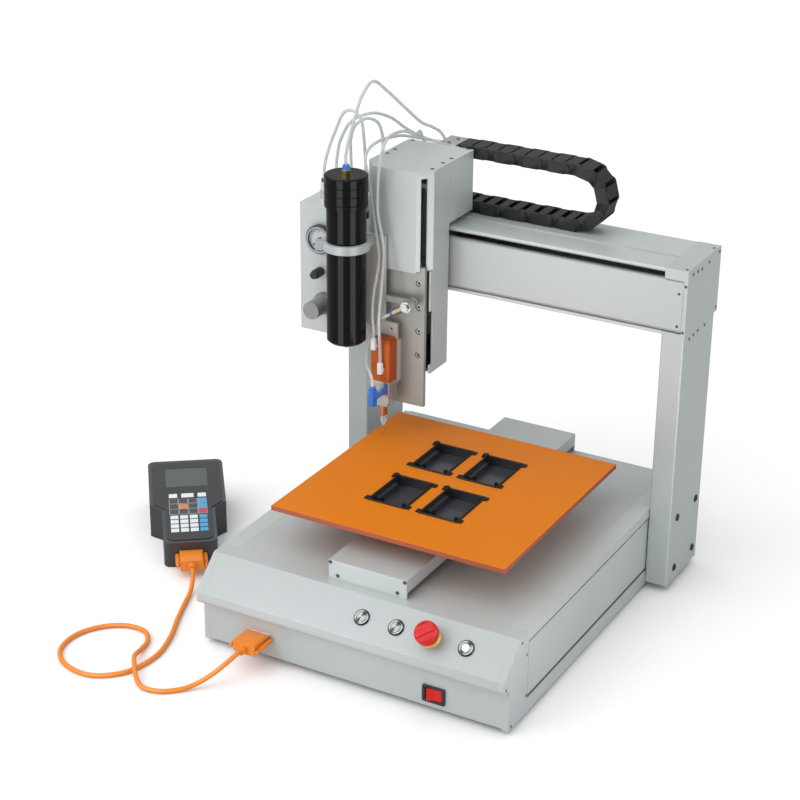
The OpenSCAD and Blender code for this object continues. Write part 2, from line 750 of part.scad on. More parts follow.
module start_button() color([0.85, 0.86, 0.86]) on_slope(control_x) button_cap();
module pause_button() color([0.85, 0.86, 0.86]) on_slope(control_x + control_pitch) button_cap();
module ring_button() color([0.92, 0.93, 0.93]) on_slope(control_x + 3 * control_pitch) button_cap();

estop_x = control_x + 2 * control_pitch;
stem_r = 7;
module estop_base() color([0.95, 0.78, 0.1]) on_slope(estop_x) difference() {
    union() {
        rotate_extrude() polygon([[0, 0], [estop_r - 2, 0], [estop_r - 2, 1.5], [estop_r - 4, 4], [0, 4]]);
        translate([0, 0, -24]) cylinder(r = estop_r - 4, h = 24 + eps);
    }
    translate([0, 0, -12]) cylinder(r = stem_r + run_gap, h = 20);
}

module estop_stem() color([0.2, 0.2, 0.2]) on_slope(estop_x) {
    translate([0, 0, -6]) cylinder(r = stem_r, h = 16);
    cylinder(r = stem_r - 2, h = 18);
}

module estop_head() color([0.85, 0.1, 0.08]) on_slope(estop_x) difference() {
    rotate_extrude() polygon(concat([[0, 10.3], [estop_r - 3, 10.3], [estop_r, 12.5], [estop_r, 16]],
        [for (a = [0:15:90]) [(estop_r - 5) + 5 * cos(a), 19 + 5 * sin(a)]], [[0, 24]]));
    translate([0, 0, 9]) cylinder(r = stem_r - 2 + bearing_gap, h = 9.4);
    for (s = [-1, 1]) rotate(40) translate([-12, s > 0 ? 3.2 : -10.2, 22.6]) cube([24, 7, 4]);
}

rocker_half = 9.4;
rocker_pivot = -4;
rocker_tilt = 10;
module rocker() color([0.85, 0.1, 0.08]) on_front(rocker_x, floor_z + rocker_z)
    translate([0, 0, rocker_pivot]) rotate([0, rocker_tilt, 0]) rotate([90, 0, 0])
        translate([0, 0, -(rocker_h - 6) / 2]) {
            linear_extrude(rocker_h - 6) polygon([[-rocker_half, 1], [0, -3], [rocker_half, 1],
                [rocker_half, 7.4], [0, 5.4], [-rocker_half, 7.4]]);
            translate([0, 0, -0.2]) cylinder(r = 3.4, h = rocker_h - 6 + 0.4);
        }

module column() difference() {
    translate([base_x + column_w / 2, (col_y0 + col_y1) / 2, col_z0])
        linear_extrude(beam_z - col_z0) round_rect(column_w, column_d, 2.5);
    for (s = [-1, 1]) translate([base_x + column_w / 2, (col_y0 + col_y1) / 2 + s * column_d / 4,
        col_z0 - 1])
        linear_extrude(beam_z - col_z0 + 2)
            round_rect(column_w - 2 * column_wall, column_d / 2 - 1.5 * column_wall, 2);
}

module columns() color([0.72, 0.75, 0.75]) {
    column();
    mirror([1, 0, 0]) column();
}

module beam_body() color([0.78, 0.8, 0.8]) along_x(-base_x, base_x) difference() {
    union() {
        translate([beam_y0, beam_z]) square([beam_d, beam_wall]);
        translate([beam_y1 - beam_wall, beam_z]) square([beam_wall, beam_h]);
        translate([beam_y0 + beam_nose / 2, slot_z1]) square([beam_d - beam_nose / 2, beam_nose]);
        translate([beam_y0 + beam_nose / 2, slot_z1 + beam_nose / 2]) circle(r = beam_nose / 2);
    }
    translate([beam_y0 + 12, beam_top - trough_d]) square([36, trough_d + 1]);
}

// Front cover with round folds; it reaches over both beam ends
module beam_front_cover() color([0.86, 0.88, 0.88])
    along_x(end_wall + run_gap - end_x, end_x - end_wall - run_gap) {
        z0 = beam_z + beam_wall;
        r = 5;
        folded_sheet(concat([[beam_y0 + beam_fold, z0]],
            [for (a = [0:15:90]) [beam_y0 + r - r * sin(a), z0 + r - r * cos(a)]],
            [for (a = [0:15:90]) [beam_y0 + r - r * cos(a), slot_z0 - r + r * sin(a)]],
            [[beam_y0 + beam_fold, slot_z0]]), beam_cover_t);
    }

// One beam end: hollow block, open at the front where the front cover reaches over it
module end_block() difference() {
    block([base_x, beam_y0, beam_z], [end_x, beam_y1, beam_top + 0.7]);
    block([base_x - 1, beam_y0 + end_wall, beam_z + end_wall],
        [end_x - end_wall, beam_y1 - end_wall, beam_top - end_wall]);
    block([base_x - 1, beam_y0 - 1, beam_z + beam_wall - run_gap],
        [end_x - end_wall, beam_y0 + beam_fold + run_gap, slot_z0 + run_gap]);
}

module beam_ends() color([0.7, 0.73, 0.73]) {
    boss_r = 9;
    end_block();
    translate([base_x + 2, x_axis_y, x_screw_z]) rotate([0, 90, 0]) difference() {
        cylinder(r = boss_r, h = column_w - end_wall - 2 + eps);
        translate([0, 0, -1]) cylinder(r = journal_r + bearing_gap, h = 16);
    }
    mirror([1, 0, 0]) end_block();
}

// Pivots of the chain, from the fixed end to the head
function chain_pivot(i) = i <= chain_links ? [chain_x - (chain_links - i) * link_pitch, chain_z]
    : i <= chain_links + chain_bends ? let (a = (i - chain_links) * chain_turn)
        [chain_x + chain_r * sin(a), chain_z + chain_r - chain_r * cos(a)]
    : [chain_x - (i - chain_links - chain_bends) * link_pitch, chain_z + 2 * chain_r];

// One link: two side plates joined by two lids; odd links sit inside even ones and carry the studs.
// The links at the chain's two ends have a square end without a pivot.
module chain_link(odd, pivots) {
    plate = chain_w / 2 - (odd ? link_t + run_gap : 0);
    for (s = [-1, 1]) translate([0, s > 0 ? plate : link_t - plate, 0]) rotate([90, 0, 0]) difference() {
        linear_extrude(link_t) {
            translate([0, -link_half]) square([link_pitch, 2 * link_half]);
            for (x = pivots) translate([x, 0]) circle(r = link_half);
        }
        if (!odd) for (x = pivots) translate([x, 0, s > 0 ? link_t - stud_l : -1])
            cylinder(r = stud_r + run_gap, h = stud_l + 1);
    }
    if (odd) for (x = pivots, s = [-1, 1]) translate([x, s * (plate - eps), 0])
        rotate([-90 * s, 0, 0]) cylinder(r = stud_r, h = run_gap + stud_l - 0.2);
    lid = plate - (odd ? 0 : 2 * (link_t + run_gap));
    for (s = [-1, 1]) {
        z = s > 0 ? link_half - bar_t : -link_half;
        l = s > 0 ? inner_lid : outer_lid;
        block([(link_pitch - bar_l) / 2, -plate + eps, z],
            [(link_pitch + bar_l) / 2, plate - eps, z + bar_t]);
        block([(link_pitch - l) / 2, -lid + eps, z], [(link_pitch + l) / 2, lid - eps, z + bar_t]);
    }
}

chain_last = 2 * chain_links + chain_bends - 1;
module chain_run(first, last) {
    for (i = [first:last]) {
        p = chain_pivot(i);
        q = chain_pivot(i + 1);
        translate([p.x, chain_y, p.y]) rotate([0, -atan2(q.y - p.y, q.x - p.x), 0])
            chain_link(i % 2 == 1, i == 0 ? [link_pitch] : i == chain_last ? [0] : [0, link_pitch]);
    }
}

// The fixed run, its first link standing on a foot plate screwed to the beam
module chain_lower() color([0.13, 0.13, 0.14]) {
    chain_run(0, chain_links - 1);
    block([chain_end, chain_y - chain_w / 2, beam_top],
        [chain_end + bar_l, chain_y + chain_w / 2, chain_z - link_half + eps]);
}
module chain_upper() color([0.13, 0.13, 0.14]) chain_run(chain_links, chain_last);

module y_carriage() color([0.6, 0.62, 0.62]) {
    y0 = carriage_y - carriage_l / 2;
    y1 = carriage_y + carriage_l / 2;
    difference() {
        block([-carriage_half, y0, bed_top + 2], [carriage_half, y1, wing_z0 + wing_t]);
        for (s = [-1, 1]) block([s * y_rail_x - lin_rail_w / 2 - run_gap, y0 - 1, bed_top],
            [s * y_rail_x + lin_rail_w / 2 + run_gap, y1 + 1, bed_top + lin_rail_h + run_gap]);
        translate([0, y0 - 1, y_screw_z]) rotate([-90, 0, 0])
            cylinder(r = screw_r + run_gap, h = carriage_l + 2);
    }
    block([-upright_x - upright_t, y0, wing_z0], [upright_x + upright_t, y1, wing_z0 + wing_t]);
    for (s = [-1, 1]) {
        x0 = s > 0 ? upright_x : -upright_x - upright_t;
        block([x0, y0, wing_z0], [x0 + upright_t, y1, fixture_low]);
        x1 = s > 0 ? upright_x : -upright_x - flange_reach;
        block([x1, fixture_y - flange_l / 2, fixture_low - flange_t],
            [x1 + flange_reach, fixture_y + flange_l / 2, fixture_low]);
    }
}

tray_spots = [for (sx = [-1, 1], sy = [-1, 1]) [sx * tray_pitch_x / 2, tray_y + sy * tray_pitch_y / 2]];

module fixture_plate() color([0.87, 0.47, 0.1]) difference() {
    block([fixture_x - fixture_side / 2, fixture_y - fixture_side / 2, fixture_low],
        [fixture_x + fixture_side / 2, fixture_y + fixture_side / 2, fixture_top]);
    for (p = tray_spots) translate([p.x, p.y, fixture_low - 1]) linear_extrude(fixture_t + 2)
        square([tray_w + 2 * tray_gap, tray_d + 2 * tray_gap], center = true);
}

// One open tray: shell, corner lugs that sit on the plate, and two inner bosses
module tray() {
    low = fixture_top + tray_rim - tray_h;
    inner_w = tray_w - 2 * tray_wall;
    inner_d = tray_d - 2 * tray_wall;
    translate([0, 0, low]) difference() {
        linear_extrude(tray_h) square([tray_w, tray_d], center = true);
        translate([0, 0, tray_wall]) linear_extrude(tray_h) square([inner_w, inner_d], center = true);
    }
    for (sx = [-1, 1], sy = [-1, 1])
        translate([sx * (tray_w / 2 + tray_lug / 2 - eps), sy * tray_d * 0.44, fixture_top])
            linear_extrude(tray_rim) square([tray_lug, 8], center = true);
    for (s = [-1, 1]) translate([s * (inner_w / 2 - 3.5), s * (inner_d / 2 - 3.5), low + tray_wall - eps])
        cylinder(r = 2.5, h = tray_h - tray_wall - 4);
}

module trays() color([0.1, 0.1, 0.11])
    for (p = tray_spots) translate([p.x, p.y, 0]) tray();

// Frame of the head: back plate, two side walls, a floor and a bearing shelf
module head_body() color([0.74, 0.77, 0.78]) translate([head_x, 0, 0]) {
    h = head_w / 2;
    block([-h, back_y0, channel_z0], [h, back_y1, channel_z1]);
    for (x = [-h, h - wall]) along_x(x, x + wall)
        polygon([[back_y0 + eps, channel_z0], [wall_y0, channel_z0],
        [wall_y0, channel_z0 + 12], [side_y0 + 1, channel_z0 + 12], [side_y0 + 1, channel_z0 + 87],
        [wall_y0, channel_z0 + 87], [wall_y0, front_low - run_gap], [side_y0, front_low - run_gap],
        [side_y0, channel_z1], [back_y0 + eps, channel_z1]]);
    block([-h + eps, side_y0, channel_z0], [h - eps, back_y0 + eps, channel_z0 + wall]);
    difference() {
        block([-h + eps, side_y0, shelf_z], [h - eps, back_y0 + eps, shelf_z + shelf_t]);
        translate([z_screw_dx, z_screw_y, shelf_z - 1])
            cylinder(r = z_journal_r + bearing_gap, h = shelf_t + 2);
    }
}

// Outline of the head seen from above, from the front flat to a given depth
function head_outline(depth) = let (h = head_w / 2)
    [[-flat_half, flat_y], [flat_half, flat_y], [h, side_y0], [h, depth], [-h, depth], [-h, side_y0]];

// Front shell: flat face, bevelled corners with a long slot each, folded lower lip
module head_cover() color([0.78, 0.81, 0.82]) translate([head_x, 0, 0]) {
    difference() {
        translate([0, 0, front_low]) linear_extrude(front_cover_h) intersection() {
            folded_sheet([[head_w / 2, side_y0], [flat_half, flat_y], [-flat_half, flat_y],
                [-head_w / 2, side_y0]],
                cover_sheet);
            translate([-head_w, flat_y - 1]) square([2 * head_w, bevel_d + 1]);
        }
        block([-head_w, plate_y0 - slot_pad, front_low - 1], [head_w, plate_y1 + slot_pad, slot_top]);
    }
    block([-flat_half, flat_y, front_low - 2], [flat_half, plate_y0 - 1.5, front_low + 1]);
}

module head_top() color([0.74, 0.77, 0.78]) translate([head_x, 0, channel_z1])
    linear_extrude(head_top_t) polygon(head_outline(rear_y1));

module rear_box() color([0.72, 0.75, 0.76]) translate([head_x, 0, 0]) {
    h = head_w / 2;
    seam = 0.8;
    difference() {
        union() {
            block([-h, back_y1 + seam, rear_z0], [h, rear_y1, channel_z1]);
            block([seam - h, back_y1, rear_z0], [h - seam, back_y1 + seam + eps, channel_z1]);
        }
        block([sheet - h, back_y1 - 1, rear_z0 + sheet], [h - sheet, rear_y1 - sheet, channel_z1 + 1]);
    }
}

// Carriage inside the beam, with an arm through the beam's slot and a flange on the head's back
module x_carriage() color([0.6, 0.62, 0.63]) translate([head_x, 0, 0]) difference() {
    union() {
        block([-arm_half, x_axis_y - 17, x_rail_z + 2], [arm_half, x_axis_y + 17, arm_z0 + eps]);
        block([-arm_half, back_y1, arm_z0], [arm_half, x_axis_y + 17, arm_z0 + arm_t]);
        block([-arm_half, back_y1, arm_z0 - 30], [arm_half, back_y1 + 3, arm_z0 + arm_t + 8]);
    }
    block([-arm_half - 1, x_axis_y - lin_rail_w / 2 - run_gap, x_rail_z],
        [arm_half + 1, x_axis_y + lin_rail_w / 2 + run_gap, x_rail_z + lin_rail_h + run_gap]);
    translate([-arm_half - 1, x_axis_y, x_screw_z]) rotate([0, 90, 0])
        cylinder(r = screw_r + run_gap, h = 2 * arm_half + 2);
}

z_motor_z = channel_z0 + wall + z_motor_len;
module z_motor() color([0.2, 0.2, 0.21]) translate([head_x + z_screw_dx, z_screw_y, z_motor_z])
    motor(z_motor_side, z_motor_len, z_journal_r + bearing_gap);

module z_screw() color([0.75, 0.75, 0.78]) translate([head_x + z_screw_dx, z_screw_y, z_motor_z + 2])
    drive_screw(shelf_z - z_motor_z - 4, z_screw_r - 0.15, z_journal_r, journal_l, shelf_t + 2);

module z_rail() color("silver") translate([head_x, back_y0, channel_z0 + wall + 40]) rotate([0, 0, 180])
    linear_extrude(shelf_z - channel_z0 - wall - 42) rail_profile(z_rail_w, z_rail_d);

// Plate that carries the chain's moving end, with a tab that clamps the hoses behind the head
module chain_bracket() color([0.66, 0.68, 0.69]) {
    y1 = chain_y + chain_w / 2 - 3;
    z1 = chain_top - tie_plate_t;
    block([tie_x0, rear_y1, z1], [chain_end, y1, chain_top]);
    block([tie_x0, rear_y1, tie_z0], [chain_end, rear_y1 + tie_plate_t, z1 + eps]);
    block([tie_x0, rear_y1 + eps, tie_z0], [tie_x0 + tie_w, y1, z1 + eps]);
}

// Sheet box for the air controls, its back panel reaching over to the head's wall
module control_box() color([0.8, 0.83, 0.84]) {
    panel_y = box_y1 - box_panel;
    difference() {
        block([box_x0, box_y0, box_z0], [box_x1, panel_y, box_z1]);
        block([box_x0 + sheet, box_y0 + sheet, box_z0 + sheet],
            [box_x1 - sheet, panel_y + 1, box_z1 - sheet]);
    }
    for (spot = [[flow_x, flow_z, flow_stub_r, 14], [reg_x, reg_z, reg_stub_r, 26]])
        translate([spot[0], box_y0 + eps, spot[1]]) rotate([90, 0, 0]) cylinder(r = spot[2], h = spot[3]);
    block([box_x0, panel_y, box_z0], [head_left, box_y1, box_z1]);
    block([head_left - box_panel, box_y1 - 22, box_z0], [head_left, box_y1, solenoid_z0 - 8]);
}

// Air valve on the head's wall: coil block below, ported body above
module solenoid_valve() color([0.82, 0.83, 0.83]) {
    y1 = side_y0 + solenoid_d;
    block([head_left - solenoid_w, side_y0 + eps, solenoid_split], [head_left, y1, solenoid_z1]);
    block([head_left - solenoid_w + 3, side_y0 + 2, solenoid_z0], [head_left, y1 - 2, solenoid_split + eps]);
}

flow_stub_r = 2.5;
reg_stub_r = 5;

// Gauge case with its rim, dial floor and pointer bearing
module gauge() color([0.12, 0.12, 0.12]) translate([gauge_x, box_y0, gauge_z]) rotate([90, 0, 0])
    difference() {
    rotate_extrude() polygon([[0, 0], [gauge_r - 1, 0], [gauge_r, 2], [gauge_r, gauge_d - 1.5],
        [gauge_r - 1.5, gauge_d], [dial_r, gauge_d], [dial_r, gauge_d - dial_depth],
            [0, gauge_d - dial_depth]]);
    translate([0, 0, gauge_d - dial_depth - 5]) cylinder(r = 1 + bearing_gap, h = 6);
}

module gauge_needle() color([0.05, 0.05, 0.05])
    translate([gauge_x, box_y0 - gauge_d + dial_depth, gauge_z]) rotate([90, 0, 0]) {
        translate([0, 0, -4]) cylinder(r = 1, h = 5);
        translate([0, 0, 0.8]) cylinder(r = 2.2, h = 1);
        translate([0, 0, 0.9]) rotate(needle_turn) linear_extrude(0.6)
            polygon([[-5, -1], [dial_r - 4, -0.3], [dial_r - 4, 0.3], [-5, 1]]);
    }

// A knurled knob on a stub, stepped towards its front
module knob(r_back, r_front, l_back, length, bore_r, bore_l, ribs) difference() {
    union() {
        cylinder(r = r_back - 0.6, h = l_back);
        translate([0, 0, l_back - eps]) cylinder(r = r_front, h = length - l_back + eps);
        for (i = [0:ribs - 1]) rotate(i * 360 / ribs) translate([0, -0.7, 1])
            cube([r_back, 1.4, l_back - 2]);
    }
    translate([0, 0, -1]) cylinder(r = bore_r + bearing_gap, h = bore_l + 1.5);
}

module flow_knob() color([0.1, 0.1, 0.1]) translate([flow_x, box_y0 - run_gap, flow_z]) rotate([90, 0, 0])
    knob(6.3, 5, 15, 19, flow_stub_r, 14, 16);

module regulator_knob() color([0.55, 0.57, 0.57]) translate([reg_x, box_y0 - run_gap, reg_z])
    rotate([90, 0, 0])
    knob(14.5, 11.8, 8, 36, reg_stub_r, 26, 24);

// A push-in fitting along +Z: hexagon, neck and release collar
module push_fitting(hex_r, length) {
    cylinder(r = hex_r, h = length * 0.45, $fn = 6);
    translate([0, 0, length * 0.45 - eps]) cylinder(r = hex_r * 0.8, h = length * 0.4);
    translate([0, 0, length * 0.85 - 2 * eps]) cylinder(r = hex_r * 0.62, h = length * 0.15 + 2 * eps);
}

// An elbow on a vertical face that looks towards -Y, with its port upwards
module elbow(reach, rise, r) {
    rotate([90, 0, 0]) cylinder(r = r, h = reach);
    translate([0, -reach, -r]) cylinder(r = r, h = rise + r);
    translate([0, -reach, rise - eps]) cylinder(r = r * 0.75, h = 2);
}

module head_fittings() color([0.75, 0.75, 0.77]) {
    for (p = fitting_spots) translate([p.x, p.y, box_z1]) push_fitting(6, fitting_h);
    for (y = solenoid_ports) translate([solenoid_port_x, y, solenoid_z1]) push_fitting(4.6, 8);
}

module tool_plate() color([0.66, 0.65, 0.62]) translate([head_x, 0, 0])
    difference() {
        block([-plate_half, plate_y0, plate_z0], [plate_half, plate_y1, plate_z1]);
        for (s = [-1, 1], i = [0:3]) translate([s * (plate_half - 9), plate_y0 - 1, plate_z1 - 22 - 33 * i])
            rotate([-90, 0, 0]) cylinder(r = 4.2, h = 4);
    }

// Runner and nut block behind the tool plate
module z_slider() color([0.55, 0.56, 0.57]) translate([head_x, 0, 0]) difference() {
    block([-slider_half, plate_y1, slider_z1 - slider_h], [slider_half, back_y0 - 2, slider_z1]);
    block([-z_rail_w / 2 - run_gap, back_y0 - z_rail_d - run_gap, slider_z1 - slider_h - 1],
        [z_rail_w / 2 + run_gap, back_y0, slider_z1 + 1]);
    translate([z_screw_dx, z_screw_y, slider_z1 - slider_h - 1])
        cylinder(r = z_screw_r + run_gap, h = slider_h + 2);
}

// Strip that stands off the tool plate, stepped sideways, with a split ring for the barrel
// and an arm for the swivel fitting
module tool_bracket() color([0.78, 0.79, 0.8]) {
    low = valve_z0 + 26;
    valve_x0 = valve_x - valve_w / 2;
    along_y(strip_y0, strip_y1) polygon([[valve_x0, low], [valve_x0 + valve_w - 2, low],
        [valve_x0 + valve_w - 2, strip_step], [strip_x1, strip_step], [strip_x1, ring_z0 + ring_h],
        [strip_x0, ring_z0 + ring_h], [strip_x0, strip_step - 6], [valve_x0, strip_step - 6]]);
    block([valve_x0 + 1, strip_y1 - eps, low + 1], [valve_x0 + valve_w - 3, plate_y0, spacer_z1]);
    block([strip_x1 - eps, strip_y0, banjo_at.z - 4], [banjo_at.x, strip_y1, banjo_at.z + 4]);
    translate([banjo_at.x, strip_y1, banjo_at.z]) rotate([90, 0, 0]) cylinder(r = 7, h = strip_t);
    translate([0, 0, ring_z0]) linear_extrude(ring_h) difference() {
        union() {
            translate([barrel_x, barrel_y]) circle(r = barrel_r + ring_t);
            translate([barrel_x + 4, barrel_y + 10])
                square([strip_x1 - 16 - barrel_x, strip_y0 - barrel_y - 10 + eps]);
            translate([barrel_x, barrel_y]) rotate(215) translate([barrel_r + 2, -6]) square([12, 12]);
        }
        translate([barrel_x, barrel_y]) circle(r = barrel_r + grip_gap);
        translate([barrel_x, barrel_y]) rotate(215) translate([barrel_r - 2, -1]) square([20, 2]);
    }
}

module barrel() color([0.06, 0.06, 0.07]) translate([barrel_x, barrel_y, 0]) rotate_extrude()
    polygon([[0, barrel_z0], [barrel_r - 3, barrel_z0], [barrel_r, barrel_z0 + 3],
        [barrel_r, barrel_z1 - 12],
        [barrel_r - 1.5, barrel_z1 - 12], [barrel_r - 1.5, barrel_z1], [barrel_r - 4, barrel_z1],
        [barrel_r - 4, barrel_z0 + 4], [0, barrel_z0 + 4]]);

module barrel_cap() color([0.05, 0.05, 0.06]) translate([barrel_x, barrel_y, 0]) {
    grooves = [for (i = [0:2]) cap_z1 - 13 - 11 * i];
    difference() {
        rotate_extrude() polygon([[0, barrel_z1 + 1], [barrel_r - 1.5 + grip_gap, barrel_z1 + 1],
            [barrel_r - 1.5 + grip_gap, barrel_z1 - 11], [barrel_r + grip_gap, barrel_z1 - 11],
            [barrel_r + grip_gap, cap_z0], [barrel_cap_r, cap_z0], [barrel_cap_r, cap_z1 - 1.5],
            [barrel_cap_r - 1.5, cap_z1], [0, cap_z1]]);
        for (z = grooves) translate([0, 0, z]) rotate_extrude() translate([barrel_cap_r - 0.8, 0])
            square([2, 1.6]);
    }
}

module valve_body() color([0.82, 0.33, 0.1]) translate([valve_x, valve_y, valve_mid]) {
    translate([0, 0, 0]) linear_extrude(valve_top_h - 3) round_rect(valve_w, valve_d, 2.5);
    translate([0, 0, valve_top_h - 3 - eps]) linear_extrude(3 + eps)
        round_rect(valve_w - 3, valve_d - 3, 2.5);
}

module valve_block() color([0.8, 0.8, 0.79]) translate([valve_x, valve_y, valve_z0]) difference() {
    union() {
        translate([0, 0, 5]) linear_extrude(valve_low_h - 5) round_rect(valve_w, valve_d, 1.5);
        linear_extrude(5 + eps) round_rect(valve_w - 6, valve_d - 4, 1.5);
    }
    for (z = [15, 25]) translate([valve_w / 2 - 6, -4 + z / 4, z]) rotate([0, 90, 0])
        cylinder(r = 1.7, h = 7);
}

// Cap fitting, two air elbows on the valve, fluid elbow below them and the swivel fitting on its arm
banjo_at = [head_x + 31.3, strip_y0, plate_z1 - 44.8];
banjo_dir = [-20, -8, -12];
banjo_reach = 11.2;
module tool_fittings() color([0.76, 0.74, 0.68]) {
    translate([barrel_x, barrel_y, cap_z1]) push_fitting(6, 12.5);
    for (p = [[-7, valve_mid + 49.5], [3, valve_mid + 17.5]])
        translate([valve_x + p[0], valve_y0, p[1]]) elbow(4.2, 10, 4);
    translate([valve_x + 1, valve_y0, valve_z0 + 19]) {
        rotate([90, 0, 0]) cylinder(r = 4.5, h = 20);
        translate([0, -20, -9]) cylinder(r = 6.6, h = 13, $fn = 6);
        translate([0, -20, 4 - eps]) cylinder(r = 5.6, h = 8);
        translate([0, -20, 12 - 2 * eps]) cylinder(r = 4.2, h = 4 + 2 * eps);
    }
    translate([barrel_x, barrel_y, barrel_z0 - 7]) cylinder(r = 8, h = 7, $fn = 6);
    translate(banjo_at) rotate([90, 0, 0]) {
        cylinder(r = 4, h = 18);
        translate([0, 0, 4]) cylinder(r = 7.5, h = 13);
        translate([0, 0, 17.9]) cylinder(r = 5.5, h = 3, $fn = 6);
    }
    start = banjo_at - [0, banjo_reach, 0];
    bar(start, start + banjo_dir * 0.85, 4.8);
    bar(start, start + banjo_dir, 3.6);
}

// Luer adapter, hub and steel tube
module needle() color([0.8, 0.8, 0.8]) translate([valve_x, valve_y, 0]) difference() {
    rotate_extrude() polygon([[0, tip_z], [needle_r, tip_z], [needle_r, tip_z + 13], [2.2, tip_z + 14],
        [3.4, tip_z + 20], [4.4, tip_z + 20], [4.4, tip_z + 23], [3.6, tip_z + 23], [3.6, tip_z + 28],
        [5.5, tip_z + 30], [5.5, valve_z0], [0, valve_z0]]);
    translate([0, 0, tip_z - 1]) cylinder(r = needle_r * 0.55, h = 13);
}

module head_hoses() color([0.85, 0.87, 0.88])
    for (route = [route_box, route_supply, route_short]) cord(route, hose_r, 8, hose_steps);

module tool_hoses() color([0.85, 0.87, 0.88])
    for (route = [route_cap, route_over, route_side, route_fluid]) cord(route, hose_r, 8, hose_steps);

// Outline of the pendant seen from its face: wide head, waist and narrower grip
module pendant_outline(inset) {
    w = pendant_w / 2 - inset;
    g = grip_w / 2 - inset;
    waist = pendant_l - pendant_head_l;
    taper = 14;
    r = 9;
    top = pendant_l - inset;
    polygon(concat(
        [for (a = [-90:30:0]) [g - r + r * cos(a), inset + r + r * sin(a)]],
        [[g, waist - taper], [w, waist]],
        [for (a = [0:30:90]) [w - r + r * cos(a), top - r + r * sin(a)]],
        [for (a = [90:30:180]) [r - w + r * cos(a), top - r + r * sin(a)]],
        [[-w, waist], [-g, waist - taper]],
        [for (a = [180:30:270]) [r - g + r * cos(a), inset + r + r * sin(a)]]));
}

module pendant_body() color([0.2, 0.21, 0.22]) at_pendant() intersection() {
    rise = (pendant_high - pendant_low) / pendant_l;
    linear_extrude(pendant_high + 2) pendant_outline(0);
    along_x(-pendant_w, pendant_w)
        polygon([[-1, 0], [pendant_l + 1, 0], [pendant_l + 1, pendant_high + rise],
        [-1, pendant_low - rise]]);
}

face_t = 1.2;
screen_w = 58;
screen_l = 46;
screen_y = 130;
// Keypad overlay on the sloping face, with a window for the screen
module pendant_face() color([0.1, 0.1, 0.11]) at_pendant() translate([0, 0, pendant_low])
    rotate([pendant_tilt, 0, 0])
    translate([0, 0, eps]) difference() {
        linear_extrude(face_t) pendant_outline(5);
        translate([0, screen_y + screen_l / 2, face_t - 0.6]) linear_extrude(1)
            round_rect(screen_w, screen_l, 2);
    }

module pendant_handle() color([0.95, 0.5, 0.1]) at_pendant()
    translate([0, pendant_l, pendant_high / 2 - handle_t / 2]) linear_extrude(handle_t) difference() {
        translate([0, handle_l / 2]) round_rect(handle_w, handle_l, 6);
        translate([0, (handle_l - handle_bar) / 2 - 3])
            square([handle_w - 2 * handle_bar, handle_l - handle_bar + 6],
            center = true);
    }

// One D-sub plug along +Z away from its socket: flange, hood, cable boot and two thumbscrews
module dsub_plug() {
    translate([0, 0, 0]) linear_extrude(flange_d + eps) square([hood_w, 12.5], center = true);
    translate([0, 0, flange_d]) linear_extrude(hood_l - 8) round_rect(hood_w, hood_t, 3);
    translate([0, 0, dsub_l - 8 - eps]) cylinder(r = 5.5, h = 8);
    for (s = [-1, 1]) translate([s * (hood_w / 2 + 3 - eps), 0, 2]) {
        cylinder(r = 3, h = 24);
        translate([0, 0, 23.9]) cylinder(r = 1.8, h = 8);
    }
}

module dsub_plugs() color([0.93, 0.5, 0.12]) {
    on_front(socket_x, floor_z + socket_z) translate([0, 0, 1 + eps]) difference() {
        dsub_plug();
        translate([0, 0, -1]) linear_extrude(6.2) round_rect(18.6, 9.6, 2.3);
    }
    at_pendant() translate([0, -eps, plug_rise]) rotate([90, 0, 0]) dsub_plug();
}

module cable() color([0.95, 0.5, 0.12]) cord(route_cable, cable_r, 10, 2);

chassis();
side_rails();
end_plates();
console();
base_panels();
y_cover();
frame_rails();
drive_motors();
y_screw();
x_screw();
electronics();
control_bezels();
start_button();
pause_button();
ring_button();
estop_base();
estop_stem();
estop_head();
rocker();
columns();
beam_body();
beam_front_cover();
beam_ends();
chain_lower();
chain_upper();
y_carriage();
fixture_plate();
trays();
head_body();
head_cover();
head_top();
rear_box();
x_carriage();
z_motor();
z_screw();
z_rail();
chain_bracket();
control_box();
gauge();
gauge_needle();
flow_knob();
regulator_knob();
solenoid_valve();
head_fittings();
tool_plate();
z_slider();
tool_bracket();
barrel();
barrel_cap();
valve_body();
valve_block();
tool_fittings();
needle();
head_hoses();
tool_hoses();
pendant_body();
pendant_face();
pendant_handle();
dsub_plugs();
cable();
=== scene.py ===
import math

import bmesh
import bpy
from mathutils import Matrix, Vector


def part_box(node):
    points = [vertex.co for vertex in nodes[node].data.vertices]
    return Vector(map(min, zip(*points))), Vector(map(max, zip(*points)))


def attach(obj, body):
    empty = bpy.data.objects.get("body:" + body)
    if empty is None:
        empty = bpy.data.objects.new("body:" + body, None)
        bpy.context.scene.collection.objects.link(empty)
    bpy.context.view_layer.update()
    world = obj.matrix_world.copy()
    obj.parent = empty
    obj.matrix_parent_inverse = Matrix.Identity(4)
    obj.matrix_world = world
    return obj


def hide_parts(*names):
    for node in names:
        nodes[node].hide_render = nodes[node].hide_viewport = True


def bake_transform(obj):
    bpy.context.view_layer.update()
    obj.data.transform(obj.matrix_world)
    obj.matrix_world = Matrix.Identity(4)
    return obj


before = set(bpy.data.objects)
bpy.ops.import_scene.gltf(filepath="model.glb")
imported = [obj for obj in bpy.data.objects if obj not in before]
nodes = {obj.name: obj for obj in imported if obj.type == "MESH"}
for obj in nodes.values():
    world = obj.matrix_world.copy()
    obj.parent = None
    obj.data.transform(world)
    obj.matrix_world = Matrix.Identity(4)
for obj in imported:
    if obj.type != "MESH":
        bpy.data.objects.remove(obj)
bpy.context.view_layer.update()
scene = bpy.context.scene

# Sizes and places are in mm in the shared frame
MM = 0.001


